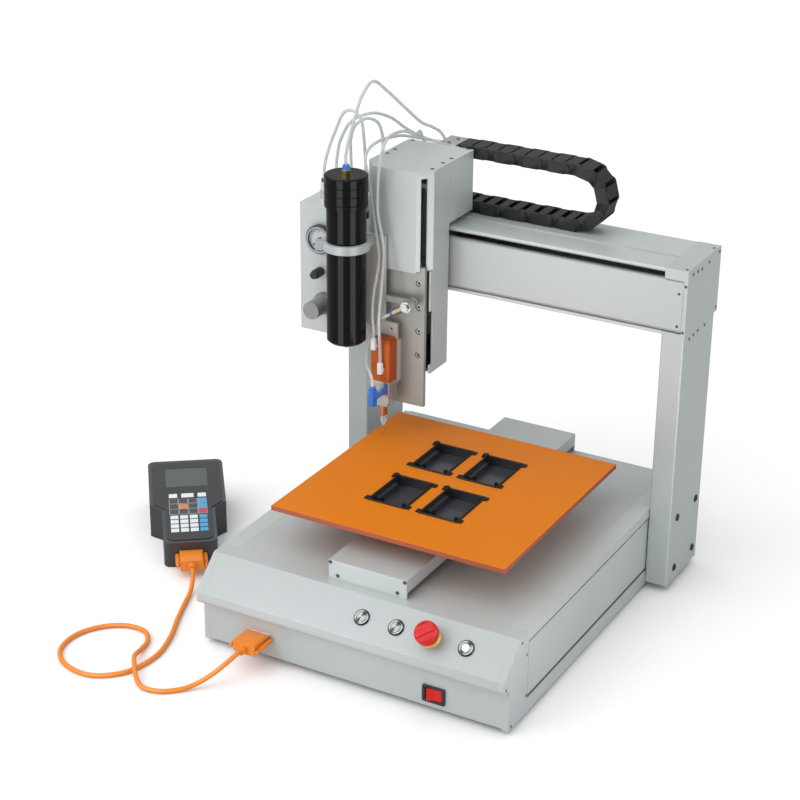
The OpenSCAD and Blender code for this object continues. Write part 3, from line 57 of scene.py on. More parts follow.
def spot(x, y, z):
    """A point given in mm, in Blender's metres."""
    return Vector((x, y, z)) * MM


def corners(node):
    """Lowest and highest corner of a CAD node in mm."""
    return [Vector(corner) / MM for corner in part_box(node)]


# Faces of the solids that the trim sits on
BASE_X = corners("side_rails")[1].x
BASE_BACK = corners("base_panels")[1].y
SEAM_Y = corners("side_rails")[0].y
COLUMN_X = corners("beam_ends")[1].x
BEAM_TOP = corners("beam_ends")[1].z
BEAM_FRONT = corners("beam_ends")[0].y
HEAD_TOP = corners("head_top")[1].z
PLATE_TOP = corners("fixture_plate")[1].z
TRAY_TOP = corners("trays")[1].z
VALVE_BACK = corners("valve_body")[1].y
COVER_FRONT = -216
CHAIN_BRACKET_TOP = 535.9
TRAY_FLOOR = 159.2
RAIL_GROOVES = (27, 101.5)
GAUGE_X = -235
GAUGE_Z = 427

# Directions
SIDES = (-1, 1)
TO_FRONT = (0, -1, 0)
TO_BACK = (0, 1, 0)
UPWARDS = (0, 0, 1)

# Camera, solved from the straight edges in the photo
CAMERA_AT = (1036.2, -2002.9, 1293.9)
CAMERA_TURN = math.radians(29.09)
CAMERA_DROP = math.radians(24.27)
CAMERA_ROLL = math.radians(0.54)
CAMERA_LENS = 89.5
CAMERA_SENSOR = 36
CAMERA_REACH = 60


def add_camera():
    level = math.cos(CAMERA_DROP)
    ahead = Vector((-math.sin(CAMERA_TURN) * level, math.cos(CAMERA_TURN) * level, -math.sin(CAMERA_DROP)))
    side = Vector((math.cos(CAMERA_TURN), math.sin(CAMERA_TURN), 0))
    lift = side.cross(ahead)
    right = math.cos(CAMERA_ROLL) * side + math.sin(CAMERA_ROLL) * lift
    up = math.cos(CAMERA_ROLL) * lift - math.sin(CAMERA_ROLL) * side
    data = bpy.data.cameras.new("camera")
    data.lens = CAMERA_LENS
    data.sensor_width = CAMERA_SENSOR
    data.clip_end = CAMERA_REACH
    camera = bpy.data.objects.new("camera", data)
    scene.collection.objects.link(camera)
    turn = Matrix((right, up, -ahead)).transposed().to_4x4()
    camera.matrix_world = Matrix.Translation(spot(*CAMERA_AT)) @ turn
    scene.camera = camera


add_camera()


# Shader building
def new_material(name):
    """A material with one Principled shader: the material, its node tree and the shader."""
    material = bpy.data.materials.new(name)
    material.use_nodes = True
    tree = material.node_tree
    tree.nodes.clear()
    output = tree.nodes.new("ShaderNodeOutputMaterial")
    shader = tree.nodes.new("ShaderNodeBsdfPrincipled")
    tree.links.new(shader.outputs["BSDF"], output.inputs["Surface"])
    return material, tree, shader


def value_range(tree, source, low, high, start=0.0, end=1.0):
    """Maps a value between start and end to one between low and high."""
    node = tree.nodes.new("ShaderNodeMapRange")
    for key, value in (("From Min", start), ("From Max", end), ("To Min", low), ("To Max", high)):
        node.inputs[key].default_value = value
    tree.links.new(source, node.inputs["Value"])
    return node.outputs["Result"]


def noise(tree, scale, detail, stretch):
    place = tree.nodes.new("ShaderNodeTexCoord")
    mapping = tree.nodes.new("ShaderNodeMapping")
    mapping.inputs["Scale"].default_value = stretch
    node = tree.nodes.new("ShaderNodeTexNoise")
    node.inputs["Scale"].default_value = scale
    node.inputs["Detail"].default_value = detail
    tree.links.new(place.outputs["Object"], mapping.inputs["Vector"])
    tree.links.new(mapping.outputs["Vector"], node.inputs["Vector"])
    return node.outputs["Fac"]


def mix_colour(tree, share, first, second):
    """Mixes two colours, each a tuple or a socket, by the value of the socket share."""
    node = tree.nodes.new("ShaderNodeMix")
    node.data_type = "RGBA"
    tree.links.new(share, node.inputs[0])
    for socket, colour in ((node.inputs[6], first), (node.inputs[7], second)):
        if isinstance(colour, tuple):
            socket.default_value = (*colour, 1)
        else:
            tree.links.new(colour, socket)
    return node.outputs[2]


def scaled(colour, factor, offset=0.0):
    return tuple(min(1, c * factor + offset) for c in colour)


EVEN = (1, 1, 1)
BLOTCH_DETAIL = 4
GRAIN_DETAIL = 2
GRAIN_SHADE = 0.93
GRAIN_SHARE = 0.5
BEVEL_SAMPLES = 4
SHARPNESS_WORN = (0.995, 0.85)
WORN_GAIN = 1.25
WORN_OFFSET = 0.06
ROUGH_SPREAD = (0.88, 1.14)
GRAIN_HEIGHT = 0.0005
COAT_ROUGHNESS = 0.08


def finish_of(name, colour, rough, metal=0.0, grain=(900, 0.05), stretch=EVEN, vary=0.06,
              edge=0.0008, wear=0.25, coat=0.0, glass=0.0, blotch=9.0, spec=0.5):
    """A coated, moulded or metal surface with an uneven tone, a fine grain and rubbed edges.

    grain is the scale and the strength of the fine noise, edge the radius of the edges in metres.
    """
    material, tree, shader = new_material(name)
    links = tree.links
    uneven = noise(tree, blotch, BLOTCH_DETAIL, EVEN)
    fine = noise(tree, grain[0], GRAIN_DETAIL, stretch)
    tone = mix_colour(tree, uneven, scaled(colour, 1 - vary), scaled(colour, 1 + vary))
    tone = mix_colour(tree, value_range(tree, fine, 0.0, GRAIN_SHARE), tone, scaled(colour, GRAIN_SHADE))

    rounded = tree.nodes.new("ShaderNodeBevel")
    rounded.samples = BEVEL_SAMPLES
    rounded.inputs["Radius"].default_value = edge
    geometry = tree.nodes.new("ShaderNodeNewGeometry")
    flatness = tree.nodes.new("ShaderNodeVectorMath")
    flatness.operation = "DOT_PRODUCT"
    links.new(rounded.outputs["Normal"], flatness.inputs[0])
    links.new(geometry.outputs["Normal"], flatness.inputs[1])
    rubbed = value_range(tree, flatness.outputs["Value"], 0.0, wear, *SHARPNESS_WORN)
    tone = mix_colour(tree, rubbed, tone, scaled(colour, WORN_GAIN, WORN_OFFSET))
    links.new(tone, shader.inputs["Base Color"])
    low, high = (min(1, rough * share) for share in ROUGH_SPREAD)
    links.new(value_range(tree, uneven, low, high), shader.inputs["Roughness"])

    bump = tree.nodes.new("ShaderNodeBump")
    bump.inputs["Strength"].default_value = grain[1]
    bump.inputs["Distance"].default_value = GRAIN_HEIGHT
    links.new(fine, bump.inputs["Height"])
    links.new(rounded.outputs["Normal"], bump.inputs["Normal"])
    links.new(bump.outputs["Normal"], shader.inputs["Normal"])
    for key, value in (("Metallic", metal), ("Coat Weight", coat), ("Coat Roughness", COAT_ROUGHNESS),
                       ("Transmission Weight", glass), ("Specular IOR Level", spec)):
        shader.inputs[key].default_value = value
    return material


# Finishes of coated and anodised metal, and the painted shade of the grooves in it
SPRAYED = (1600, 0.10)
BRUSHED = (700, 0.08)
UPRIGHT_GRAIN = (1, 1, 0.08)
silver = finish_of("silver_coat", (0.49, 0.527, 0.53), 0.42, 0.25, SPRAYED)
front_silver = finish_of("beam_front_coat", (0.43, 0.468, 0.472), 0.42, 0.25, SPRAYED)
box_silver = finish_of("control_box_coat", (0.54, 0.575, 0.575), 0.42, 0.2, SPRAYED)
# A darker copy of the silver coat: painted shade for the console's slope
slope_silver_painted_shade = finish_of("console_slope_painted_shade", (0.36, 0.385, 0.39), 0.44, 0.2, SPRAYED)
top_grey = finish_of("base_top_coat", (0.46, 0.49, 0.49), 0.45, 0.2, SPRAYED)
cover_grey = finish_of("y_cover_coat", (0.48, 0.505, 0.505), 0.42, 0.25, SPRAYED)
column_grey = finish_of("column_coat", (0.45, 0.485, 0.487), 0.42, 0.25, SPRAYED)
rail_alu = finish_of("rail_anodised", (0.50, 0.535, 0.535), 0.42, 0.25, (500, 0.06), (1, 0.03, 1))
tool_alu = finish_of("tool_plate_anodised", (0.345, 0.358, 0.336), 0.45, 0.45, BRUSHED, UPRIGHT_GRAIN)
bracket_alu = finish_of("bracket_anodised", (0.52, 0.51, 0.48), 0.55, 0.1, BRUSHED, UPRIGHT_GRAIN)
valve_orange = finish_of("orange_anodised", (0.47, 0.088, 0.009), 0.36, 0.3, (700, 0.05), spec=0.3)
# Painted shade for the faces inside the rail grooves
groove_dark = finish_of("groove_shade", (0.19, 0.21, 0.21), 0.6, 0.0, (900, 0.04))

# Finishes of bare, plated and blackened metal, and the painted shade in screw sockets and holes
POLISHED = (800, 0.01)
TURNED = (500, 0.02)
HARDWARE = (900, 0.04)
machined = finish_of("machined_alloy", (0.58, 0.59, 0.60), 0.30, 0.85, (420, 0.06), (1, 0.06, 1))
steel = finish_of("ground_steel", (0.62, 0.62, 0.62), 0.22, 1.0, (600, 0.03))
zinc = finish_of("zinc_sheet", (0.48, 0.49, 0.50), 0.42, 0.9, (60, 0.05), vary=0.15)
chrome = finish_of("bright_nickel", (0.70, 0.71, 0.72), 0.14, 1.0, POLISHED)
# Chrome of the button bezels, darkened in its colour: a painted dark reflection
chrome_painted_dark = finish_of("chrome_painted_dark", (0.035, 0.035, 0.037), 0.2, 1.0, POLISHED)
brass = finish_of("brass", (0.62, 0.44, 0.16), 0.24, 1.0, TURNED)
pale_brass = finish_of("pale_brass", (0.34, 0.31, 0.25), 0.34, 0.85, TURNED)
copper = finish_of("copper_alloy", (0.66, 0.36, 0.20), 0.24, 1.0, TURNED)
screw_steel = finish_of("screw_steel", (0.16, 0.165, 0.17), 0.35, 0.8, HARDWARE)
dark_bolt = finish_of("black_oxide", (0.035, 0.035, 0.037), 0.38, 0.7, HARDWARE)
motor_black = finish_of("motor_can", (0.03, 0.03, 0.032), 0.4, 0.3, (600, 0.06))
# Painted shade for the insides of screw sockets and holes
painted_hole_shade = finish_of("shadowed_hole", (0.012, 0.012, 0.012), 0.7)

# Finishes of mouldings and laminate
MOULDED = (700, 0.03)
TRAY_GRAIN = (700, 0.06)
black = finish_of("black_moulding", (0.022, 0.022, 0.024), 0.42, grain=(1200, 0.08))
chain_black = finish_of("chain_nylon", (0.016, 0.017, 0.021), 0.50, grain=(900, 0.10), wear=0.06,
                        edge=0.0004, spec=0.35)
tray_black = finish_of("tray_moulding", (0.020, 0.020, 0.022), 0.26, grain=TRAY_GRAIN, wear=0.5)
tray_rim = finish_of("tray_rim", (0.009, 0.008, 0.008), 0.5, grain=TRAY_GRAIN, wear=0.12, spec=0.2)
tray_floor = finish_of("tray_floor", (0.036, 0.038, 0.045), 0.24, grain=TRAY_GRAIN)
gloss_black = finish_of("polished_black", (0.005, 0.005, 0.0055), 0.10, grain=(700, 0.01), wear=0.05,
                        spec=0.13)
orange_sheet = finish_of("laminate_face", (0.64, 0.175, 0.003), 0.45, grain=(260, 0.05),
                         stretch=(1, 0.15, 1), vary=0.05, spec=0.15)
laminate_edge = finish_of("laminate_edge", (0.34, 0.055, 0.012), 0.55, grain=(400, 0.2),
                          stretch=(0.05, 0.05, 8), vary=0.15)
orange = finish_of("orange_moulding", (0.80, 0.23, 0.015), 0.35, grain=(700, 0.05))
red = finish_of("red_moulding", (0.58, 0.014, 0.014), 0.32, grain=MOULDED, spec=0.25)
yellow = finish_of("yellow_moulding", (0.80, 0.50, 0.02), 0.35, grain=(700, 0.04))
blue = finish_of("blue_moulding", (0.02, 0.16, 0.62), 0.25, grain=(600, 0.03), coat=0.3)
violet = finish_of("violet_collar", (0.10, 0.09, 0.45), 0.3, grain=(600, 0.03))
white = finish_of("white_moulding", (0.74, 0.75, 0.74), 0.35, grain=MOULDED)
ring_white = finish_of("translucent_ring", (0.60, 0.64, 0.66), 0.28, grain=(500, 0.04), glass=0.4)
grey_plastic = finish_of("grey_moulding", (0.26, 0.27, 0.27), 0.6, grain=(900, 0.08), spec=0.3)
pale_plastic = finish_of("pale_moulding", (0.58, 0.60, 0.60), 0.42, grain=(900, 0.06))
board_green = finish_of("board", (0.02, 0.16, 0.06), 0.4, grain=(300, 0.1), vary=0.2)
hose_clear = finish_of("clear_hose", (0.80, 0.83, 0.84), 0.12, grain=(300, 0.02), glass=0.55, edge=0.0002)
hub_clear = finish_of("clear_hub", (0.80, 0.82, 0.80), 0.14, grain=(300, 0.02), glass=0.6)
dial_white = finish_of("dial_white", (0.60, 0.64, 0.66), 0.5, grain=(700, 0.02))

# Finishes of the pendant
screen_glass = finish_of("screen_glass", (0.07, 0.082, 0.075), 0.14, grain=(300, 0.01), coat=0.15)
overlay = finish_of("keypad_overlay", (0.022, 0.024, 0.027), 0.34, coat=0.08)
key_white = finish_of("key_white", (0.70, 0.74, 0.76), 0.35, grain=MOULDED)
key_blue = finish_of("key_blue", (0.07, 0.33, 0.60), 0.35, grain=MOULDED)
key_red = finish_of("key_red", (0.50, 0.04, 0.08), 0.35, grain=MOULDED)
key_orange = finish_of("key_orange", (0.62, 0.20, 0.08), 0.35, grain=MOULDED)
key_dark = finish_of("key_dark", (0.05, 0.052, 0.058), 0.35, grain=MOULDED, wear=0.6)
pendant_grey = finish_of("pendant_moulding", (0.034, 0.036, 0.040), 0.32, grain=(60, 0.55), coat=0.35,
                         blotch=40, wear=0.1)


def lens_material(sheen=0.05, rough=0.05):
    """Clear glass of the gauge: see-through with a little sheen."""
    material = bpy.data.materials.new("gauge_lens")
    material.use_nodes = True
    tree = material.node_tree
    tree.nodes.clear()
    output = tree.nodes.new("ShaderNodeOutputMaterial")
    mix = tree.nodes.new("ShaderNodeMixShader")
    mix.inputs[0].default_value = sheen
    gloss = tree.nodes.new("ShaderNodeBsdfGlossy")
    gloss.inputs["Roughness"].default_value = rough
    clear = tree.nodes.new("ShaderNodeBsdfTransparent")
    tree.links.new(clear.outputs[0], mix.inputs[1])
    tree.links.new(gloss.outputs[0], mix.inputs[2])
    tree.links.new(mix.outputs[0], output.inputs["Surface"])
    return material


def painted_bow_material(pale=(0.30, 0.305, 0.31), dark=(0.045, 0.046, 0.048), rough=0.32):
    """Turned nickel of the buttons with a painted reflection: pale and dark bows by the angle round the
    button's own axis.
    """
    bow_turn, bow_start = math.radians(62), 0.25
    material, tree, shader = new_material("turned_nickel_painted_reflection")

    def step(kind, first, second=None):
        node = tree.nodes.new("ShaderNodeMath")
        node.operation = kind
        for socket, value in ((node.inputs[0], first), (node.inputs[1], second)):
            if isinstance(value, float):
                socket.default_value = value
            elif value is not None:
                tree.links.new(value, socket)
        return node.outputs[0]

    local = tree.nodes.new("ShaderNodeTexCoord")
    axes = tree.nodes.new("ShaderNodeSeparateXYZ")
    tree.links.new(local.outputs["Object"], axes.inputs[0])
    # The bows are painted reflection: lighter and darker by the angle round the axis
    angle = step("SUBTRACT", step("ARCTAN2", axes.outputs["Y"], axes.outputs["X"]), bow_turn)
    wave = step("COSINE", step("MULTIPLY", angle, 2.0))
    bow = value_range(tree, wave, 0.0, 1.0, bow_start)
    tree.links.new(mix_colour(tree, bow, pale, dark), shader.inputs["Base Color"])
    shader.inputs["Metallic"].default_value = 1.0
    shader.inputs["Roughness"].default_value = rough
    return material


lens = lens_material()
nickel_with_painted_bows = painted_bow_material()


# CAD nodes: one finish, or several chosen by where a face lies
def coat_node(node, finish):
    """One finish for a whole CAD node."""
    mesh = nodes[node].data
    mesh.materials.clear()
    mesh.materials.append(finish)


def paint_node(node, pick):
    """Gives each face of a CAD node the finish that pick returns for its centre in mm and its normal."""
    mesh = nodes[node].data
    mesh.materials.clear()
    chosen = []
    for polygon in mesh.polygons:
        finish = pick(polygon.center / MM, polygon.normal)
        if finish not in chosen:
            chosen.append(finish)
            mesh.materials.append(finish)
        polygon.material_index = chosen.index(finish)


PLAIN_NODES = (
    (zinc, "chassis"),
    (top_grey, "base_panels"),
    (cover_grey, "y_cover"),
    (steel, "frame_rails y_screw x_screw z_screw z_rail valve_block"),
    (motor_black, "drive_motors z_motor"),
    (chrome, "start_button pause_button"),
    (white, "ring_button"),
    (yellow, "estop_base"),
    (black, "estop_stem gauge_needle flow_knob"),
    (red, "estop_head rocker"),
    (column_grey, "columns beam_ends"),
    (silver, "beam_body head_body head_cover head_top rear_box"),
    (front_silver, "beam_front_cover"),
    (box_silver, "control_box"),
    (machined, "y_carriage x_carriage z_slider chain_bracket"),
    (grey_plastic, "regulator_knob"),
    (tool_alu, "tool_plate"),
    (gloss_black, "barrel barrel_cap"),
    (valve_orange, "valve_body"),
    (orange, "pendant_handle dsub_plugs cable"),
    (chain_black, "chain_lower chain_upper"),
    (hose_clear, "head_hoses tool_hoses"),
    (pendant_grey, "pendant_body"),
)
for finish, names in PLAIN_NODES:
    for name in names.split():
        coat_node(name, finish)


def rail_part(c, n):
    """Faces inside the grooves along the outside of the side rails take a painted shade."""
    groove_reach, groove_floor, outside = 1.7, BASE_X - 3.4, BASE_X - 0.2
    beside = min(abs(c.z - z) for z in RAIL_GROOVES) < groove_reach
    return groove_dark if beside and groove_floor < abs(c.x) < outside else rail_alu


def tray_part(c, n):
    """Walls, floor and rim with lugs."""
    if abs(n.z) < 0.5 and c.z < PLATE_TOP + 0.1:
        return tray_black
    return tray_floor if c.z < TRAY_FLOOR + 0.8 else tray_rim


def plate_part(c, n):
    """Faces and cut edges of the laminate."""
    return orange_sheet if abs(n.z) > 0.5 else laminate_edge


def console_part(c, n):
    """Level strip, slope and upright faces get their own tones by the way they face: painted shade darkens
    the slope, the level strip takes the base top's grey.
    """
    if n.z > 0.9:
        return top_grey
    return slope_silver_painted_shade if n.z > 0.3 else silver


def bezel_part(c, n):
    """The rocker's frame sits low on the front, the button bezels high on the slope; the bezels are chrome
    painted dark, a painted reflection.
    """
    rocker_top = 60
    return black if c.z < rocker_top else chrome_painted_dark


def electronics_part(c, n):
    """Power inlet, pendant socket, power supply, board and the parts on it."""
    inlet_y, socket_y, board_top = 200, -230, 17.7
    if c.y > inlet_y:
        return black
    if c.y < socket_y:
        return steel
    if c.x < 0:
        return zinc
    return board_green if c.z < board_top else black


def solenoid_part(c, n):
    """Coil block below, ported body above."""
    coil_top = 424.9
    return black if c.z < coil_top else pale_plastic


def gauge_part(c, n):
    """The front of the gauge's rim is steel."""
    rim_y = 60.3
    return steel if c.y < rim_y and n.y < -0.9 else black


def head_fitting_part(c, n):
    """Fittings on the control box: steel hexagon, pale neck, black collar. The other fittings are black."""
    box_side, hexagon_top, neck_top = -205, 483, 493.2
    if c.x > box_side or c.z > neck_top:
        return black
    return steel if c.z < hexagon_top else pale_plastic


def bracket_part(c, n):
    """Strip and spacer, the pale ring round the barrel and the arm of the swivel fitting."""
    plate_y, ring_low, arm_x, arm_low = 71.19, 430, -141.9, 340
    if c.y < plate_y and c.z > ring_low and n.y < 0.9:
        return ring_white
    return tool_alu if c.x > arm_x and c.z > arm_low else bracket_alu


def needle_part(c, n):
    """Steel tube, clear hub and copper adapter, from below."""
    tube_top, hub_top = 187.6, 203
    if c.z < tube_top:
        return steel
    return hub_clear if c.z < hub_top else copper


SWIVEL_AT = Vector((-102.2, 60, 362.2))
SWIVEL_AXIS = Vector((-20, -8, -12)).normalized()


def tool_fitting_part(c, n):
    """Fittings on the cap and the valve block, two elbows, the nut under the barrel, the swivel fitting."""
    cap_low, cap_brass_top = 532, 538.2
    block_top, elbow_top, elbow_x, nut_top = 256, 320, -150, 309.5
    swivel_nut, swivel_collar = 8.5, 19.5
    if c.z > cap_low:
        return brass if c.z < cap_brass_top else blue
    if c.z < block_top:
        return blue
    if c.z < elbow_top and c.x > elbow_x:
        return white
    if c.z < nut_top:
        return black
    along = (c - SWIVEL_AT).dot(SWIVEL_AXIS)
    if along > swivel_collar:
        return violet
    return steel if along < swivel_nut else pale_brass


# Frame of the pendant's sloping face: x to the right, y away from the plug, z out of the face
PENDANT_AT = (-335, -105, 0)
PENDANT_TURN = math.radians(37)
PENDANT_EDGE = 36
PENDANT_RISE = 26
PENDANT_RUN = 195
pendant = Matrix.Translation(spot(*PENDANT_AT)) @ Matrix.Rotation(PENDANT_TURN, 4, "Z")
pendant_tilt = Matrix.Rotation(math.atan2(PENDANT_RISE, PENDANT_RUN), 4, "X")
pendant_face = pendant @ Matrix.Translation(spot(0, 0, PENDANT_EDGE)) @ pendant_tilt
to_pendant_face = pendant_face.inverted()


def screen_part(c, n):
    """The screen is the floor of a shallow window in the overlay."""
    half_width, near, far, low, high = 28.9, 130.1, 175.9, 0.3, 0.9
    q = to_pendant_face @ (c * MM) / MM
    inside = low < q.z < high and abs(q.x) < half_width and near < q.y < far
    return screen_glass if inside else overlay


PAINTED_NODES = {
    "side_rails": rail_part,
    "trays": tray_part,
    "fixture_plate": plate_part,
    "console": console_part,
    "end_plates": console_part,
    "control_bezels": bezel_part,
    "electronics": electronics_part,
    "solenoid_valve": solenoid_part,
    "gauge": gauge_part,
    "head_fittings": head_fitting_part,
    "tool_bracket": bracket_part,
    "needle": needle_part,
    "tool_fittings": tool_fitting_part,
    "pendant_face": screen_part,
}
for name, pick in PAINTED_NODES.items():
    paint_node(name, pick)


# Mesh building
ROUND_SEGMENTS = 2
ROUND_ANGLE = math.radians(40)


class Shape:
    """Collects faces, then makes one named piece of them."""

    def __init__(self):
        self.points, self.faces, self.finishes = [], [], []

    def add(self, points, faces, finish=0):
        """finish is an index into the piece's finishes, or a list with one for each face."""
        first = len(self.points)
        self.points += [tuple(point) for point in points]
        self.faces += [tuple(i + first for i in face) for face in faces]
        self.finishes += finish if isinstance(finish, list) else [finish] * len(faces)

    def box(self, low, high, place=Matrix.Identity(4), finish=0):
        points = [place @ spot(x, y, z) for x in (low[0], high[0]) for y in (low[1], high[1])
                  for z in (low[2], high[2])]
        self.add(points, [(0, 1, 3, 2), (4, 6, 7, 5), (0, 4, 5, 1), (2, 3, 7, 6), (0, 2, 6, 4),
                          (1, 5, 7, 3)], finish)

    def lathe(self, place, rings, sides=24, hexagons=(), finishes=None):
        """Turns rings of (radius, height) in mm about the place's +Z.

        The rings numbered in hexagons are hexagons; finishes has one index for each band.
        """
        bands = len(rings) - 1
        finishes = finishes or [0] * bands
        points, faces = [], []
        for i, (radius, height) in enumerate(rings):
            for k in range(sides):
                a = 2 * math.pi * k / sides
                r = radius / math.cos(a % (math.pi / 3) - math.pi / 6) if i in hexagons else radius
                points.append(place @ spot(r * math.cos(a), r * math.sin(a), height))
        for i in range(bands):
            low, high = i * sides, (i + 1) * sides
            for k in range(sides):
                following = (k + 1) % sides
                faces.append((low + k, low + following, high + following, high + k))
        faces.append(tuple(range(sides))[::-1])
        faces.append(tuple(bands * sides + k for k in range(sides)))
        self.add(points, faces, [f for f in finishes for _ in range(sides)] + [finishes[0], finishes[-1]])

    def ring(self, section, sides):
        """Turns a closed section of (radius, height) in mm about +Z."""
        k = len(section)
        angles = [2 * math.pi * i / sides for i in range(sides)]
        points = [spot(r * math.cos(a), r * math.sin(a), h) for a in angles for r, h in section]
        faces = []
        for i in range(sides):
            here, following = i * k, (i + 1) % sides * k
            for j in range(k):
                beside = (j + 1) % k
                faces.append((here + j, here + beside, following + beside, following + j))
        self.add(points, faces)

    def make(self, name, finishes, body=None, bevel=0.0, angle=35):
        """Makes the piece; bevel is in mm and angle, in degrees, is where shading turns sharp."""
        mesh = bpy.data.meshes.new(name)
        mesh.from_pydata(self.points, [], self.faces)
        for finish in finishes:
            mesh.materials.append(finish)
        mesh.polygons.foreach_set("material_index", self.finishes)
        bm = bmesh.new()
        bm.from_mesh(mesh)
        bmesh.ops.recalc_face_normals(bm, faces=bm.faces)
        bm.to_mesh(mesh)
        bm.free()
        mesh.shade_smooth()
        mesh.set_sharp_from_angle(angle=math.radians(angle))
        piece = bpy.data.objects.new(name, mesh)
        scene.collection.objects.link(piece)
        if bevel:
            modifier = piece.modifiers.new("bevel", "BEVEL")
            modifier.width = bevel * MM
            modifier.segments = ROUND_SEGMENTS
            modifier.limit_method = "ANGLE"
            modifier.angle_limit = ROUND_ANGLE
        if body:
            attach(piece, body)
        return piece


def facing(point, normal):
    """Frame at a point in mm with +Z along the normal."""
    turn = Vector(normal).normalized().to_track_quat("Z", "Y")
    return Matrix.Translation(spot(*point)) @ turn.to_matrix().to_4x4()


HEAD_SIDES = 24
SOCKET_RINGS = (3, 4)
# The socket's bands take the second finish, a painted shade
SOCKET_FINISHES = [0, 0, 0, 1, 1]


def socket_head(shape, point, normal, rings):
    """A screw head whose last rings are a hexagon socket."""
    shape.lathe(facing(point, normal), rings, HEAD_SIDES, SOCKET_RINGS, SOCKET_FINISHES)


def screw(shape, point, normal, head):
    """A rounded head of a radius and height in mm with a hexagon socket, set slightly into the face."""
    radius, height = head
    inset, shoulder, floor = -0.2, height * 0.6, height * 0.2
    socket_head(shape, point, normal, [
        (radius, inset), (radius, shoulder), (radius * 0.86, height), (radius * 0.5, height),
        (radius * 0.47, floor), (radius * 0.05, floor)])


# Hoses and cable, along routes laid out after the photo
HOSE_R = 2
CABLE_R = 3
CABLE_SIDES = 16
ROUTE_STEPS = 8
FIRST_ACROSS = (0.2, 0.3, 1)
TUBE_SHARP = 60


def route_line(route):
    """A smooth curve through a route's points, in metres."""
    points = [Vector(point) for point in route]
    last = len(points) - 1
    line = []
    for i in range(last):
        a, b, c, d = points[max(i - 1, 0)], points[i], points[i + 1], points[min(i + 2, last)]
        for k in range(ROUTE_STEPS):
            t = k / ROUTE_STEPS
            line.append(0.5 * (2 * b + (c - a) * t + (2 * a - 5 * b + 4 * c - d) * t * t
                               + (3 * b - a - 3 * c + d) * t ** 3))
    return [point * MM for point in line + [points[last]]]


def tube(name, route, radius, finish, sides=14):
    line = route_line(route)
    last = len(line) - 1
    points, faces = [], []
    across = Vector(FIRST_ACROSS)
    for i, centre in enumerate(line):
        ahead = (line[min(i + 1, last)] - line[max(i - 1, 0)]).normalized()
        across = (across - across.dot(ahead) * ahead).normalized()
        beside = ahead.cross(across)
        for k in range(sides):
            a = 2 * math.pi * k / sides
            points.append(centre + radius * MM * (math.cos(a) * across + math.sin(a) * beside))
    for i in range(last):
        low, high = i * sides, (i + 1) * sides
        for k in range(sides):
            following = (k + 1) % sides
            faces.append((low + k, low + following, high + following, high + k))
    faces += [tuple(range(sides))[::-1], tuple(last * sides + k for k in range(sides))]
    shape = Shape()
    shape.add(points, faces)
    piece = shape.make(name, [finish], angle=TUBE_SHARP)
    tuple(line[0])
    return piece


ROUTE_CAP = [
    (-178, 36, 545), (-178, 36, 558), (-175, 40, 580), (-172, 50, 607), (-171, 65, 628), (-170, 90, 639),
    (-166, 120, 619), (-159, 150, 593), (-151, 180, 567), (-144, 198, 557), (-138, 209, 548.5),
    (-133.5, 214.5, 537.6)]
ROUTE_OVER = [
    (-138.6, 211, 522), (-146.5, 211, 522), (-157, 210.5, 526.5), (-163, 208, 536), (-162.5, 201, 546),
    (-157, 188, 552), (-151, 172, 554.5), (-148.5, 158, 557), (-152, 135, 566), (-150, 100, 570),
    (-146, 78, 567), (-146, 67, 552), (-148, 64, 522), (-147, 62, 479), (-138, 62, 432), (-135.5, 52, 385),
    (-134, 43.5, 348), (-133.2, 42.5, 322), (-133, 44.3, 303), (-133, 45, 284)]
ROUTE_SIDE = [
    (-138.6, 235, 527), (-150, 235, 527), (-165, 233, 527), (-180, 225, 530), (-188, 200, 538),
    (-181, 165, 547), (-175, 120, 555), (-177, 95, 552), (-177, 82, 541), (-169, 74, 522), (-161, 70, 492),
    (-152, 66, 452), (-145, 62, 417), (-147, 52, 373), (-145, 46, 345), (-143, 45, 328), (-143, 45, 316)]
ROUTE_FLUID = [
    (-122.2, 52, 350.2), (-130, 49.6, 345.6), (-138, 50, 339), (-146.5, 53.5, 328.5), (-153.5, 57, 314),
    (-157, 57, 299), (-156.5, 52, 285.5), (-150.5, 42, 275.5), (-142.7, 35.2, 271.2), (-137, 30.8, 264),
    (-135, 29.2, 254.5)]
ROUTE_BOX = [
    (-249, 100, 497), (-249, 100, 508), (-246, 100, 525), (-239, 100, 546), (-228.5, 98, 569),
    (-220, 95.6, 585.5), (-213.4, 94.3, 593), (-204.5, 93.3, 595.8), (-195.8, 92.7, 593.2),
    (-189.8, 92.6, 586.5), (-187.5, 93, 578), (-187, 96, 558), (-187.2, 99.5, 530), (-187.7, 102, 505),
    (-188, 103.5, 485), (-188, 104, 470), (-188, 104, 461)]
ROUTE_SUPPLY = [
    (-237, 110, 497), (-237, 110, 508), (-236, 111, 525), (-231.5, 113, 549), (-218, 118, 574),
    (-198, 135, 583), (-185, 160, 573), (-179, 190, 552), (-172, 214, 537), (-160, 225, 530),
    (-148, 227, 528), (-138, 227, 528)]
ROUTE_SHORT = [
    (-214, 110, 497), (-214, 110, 508), (-215, 110, 535), (-214.9, 110.2, 553), (-211.1, 115.4, 570),
    (-202, 128, 577), (-192.9, 140.6, 570), (-189.1, 145.8, 553), (-188.5, 147, 535), (-188.5, 144.6, 519),
    (-188.3, 138.5, 506), (-188, 130.7, 496), (-188, 123, 487), (-188, 117, 477), (-188, 114.7, 467),
    (-188, 114.5, 461)]
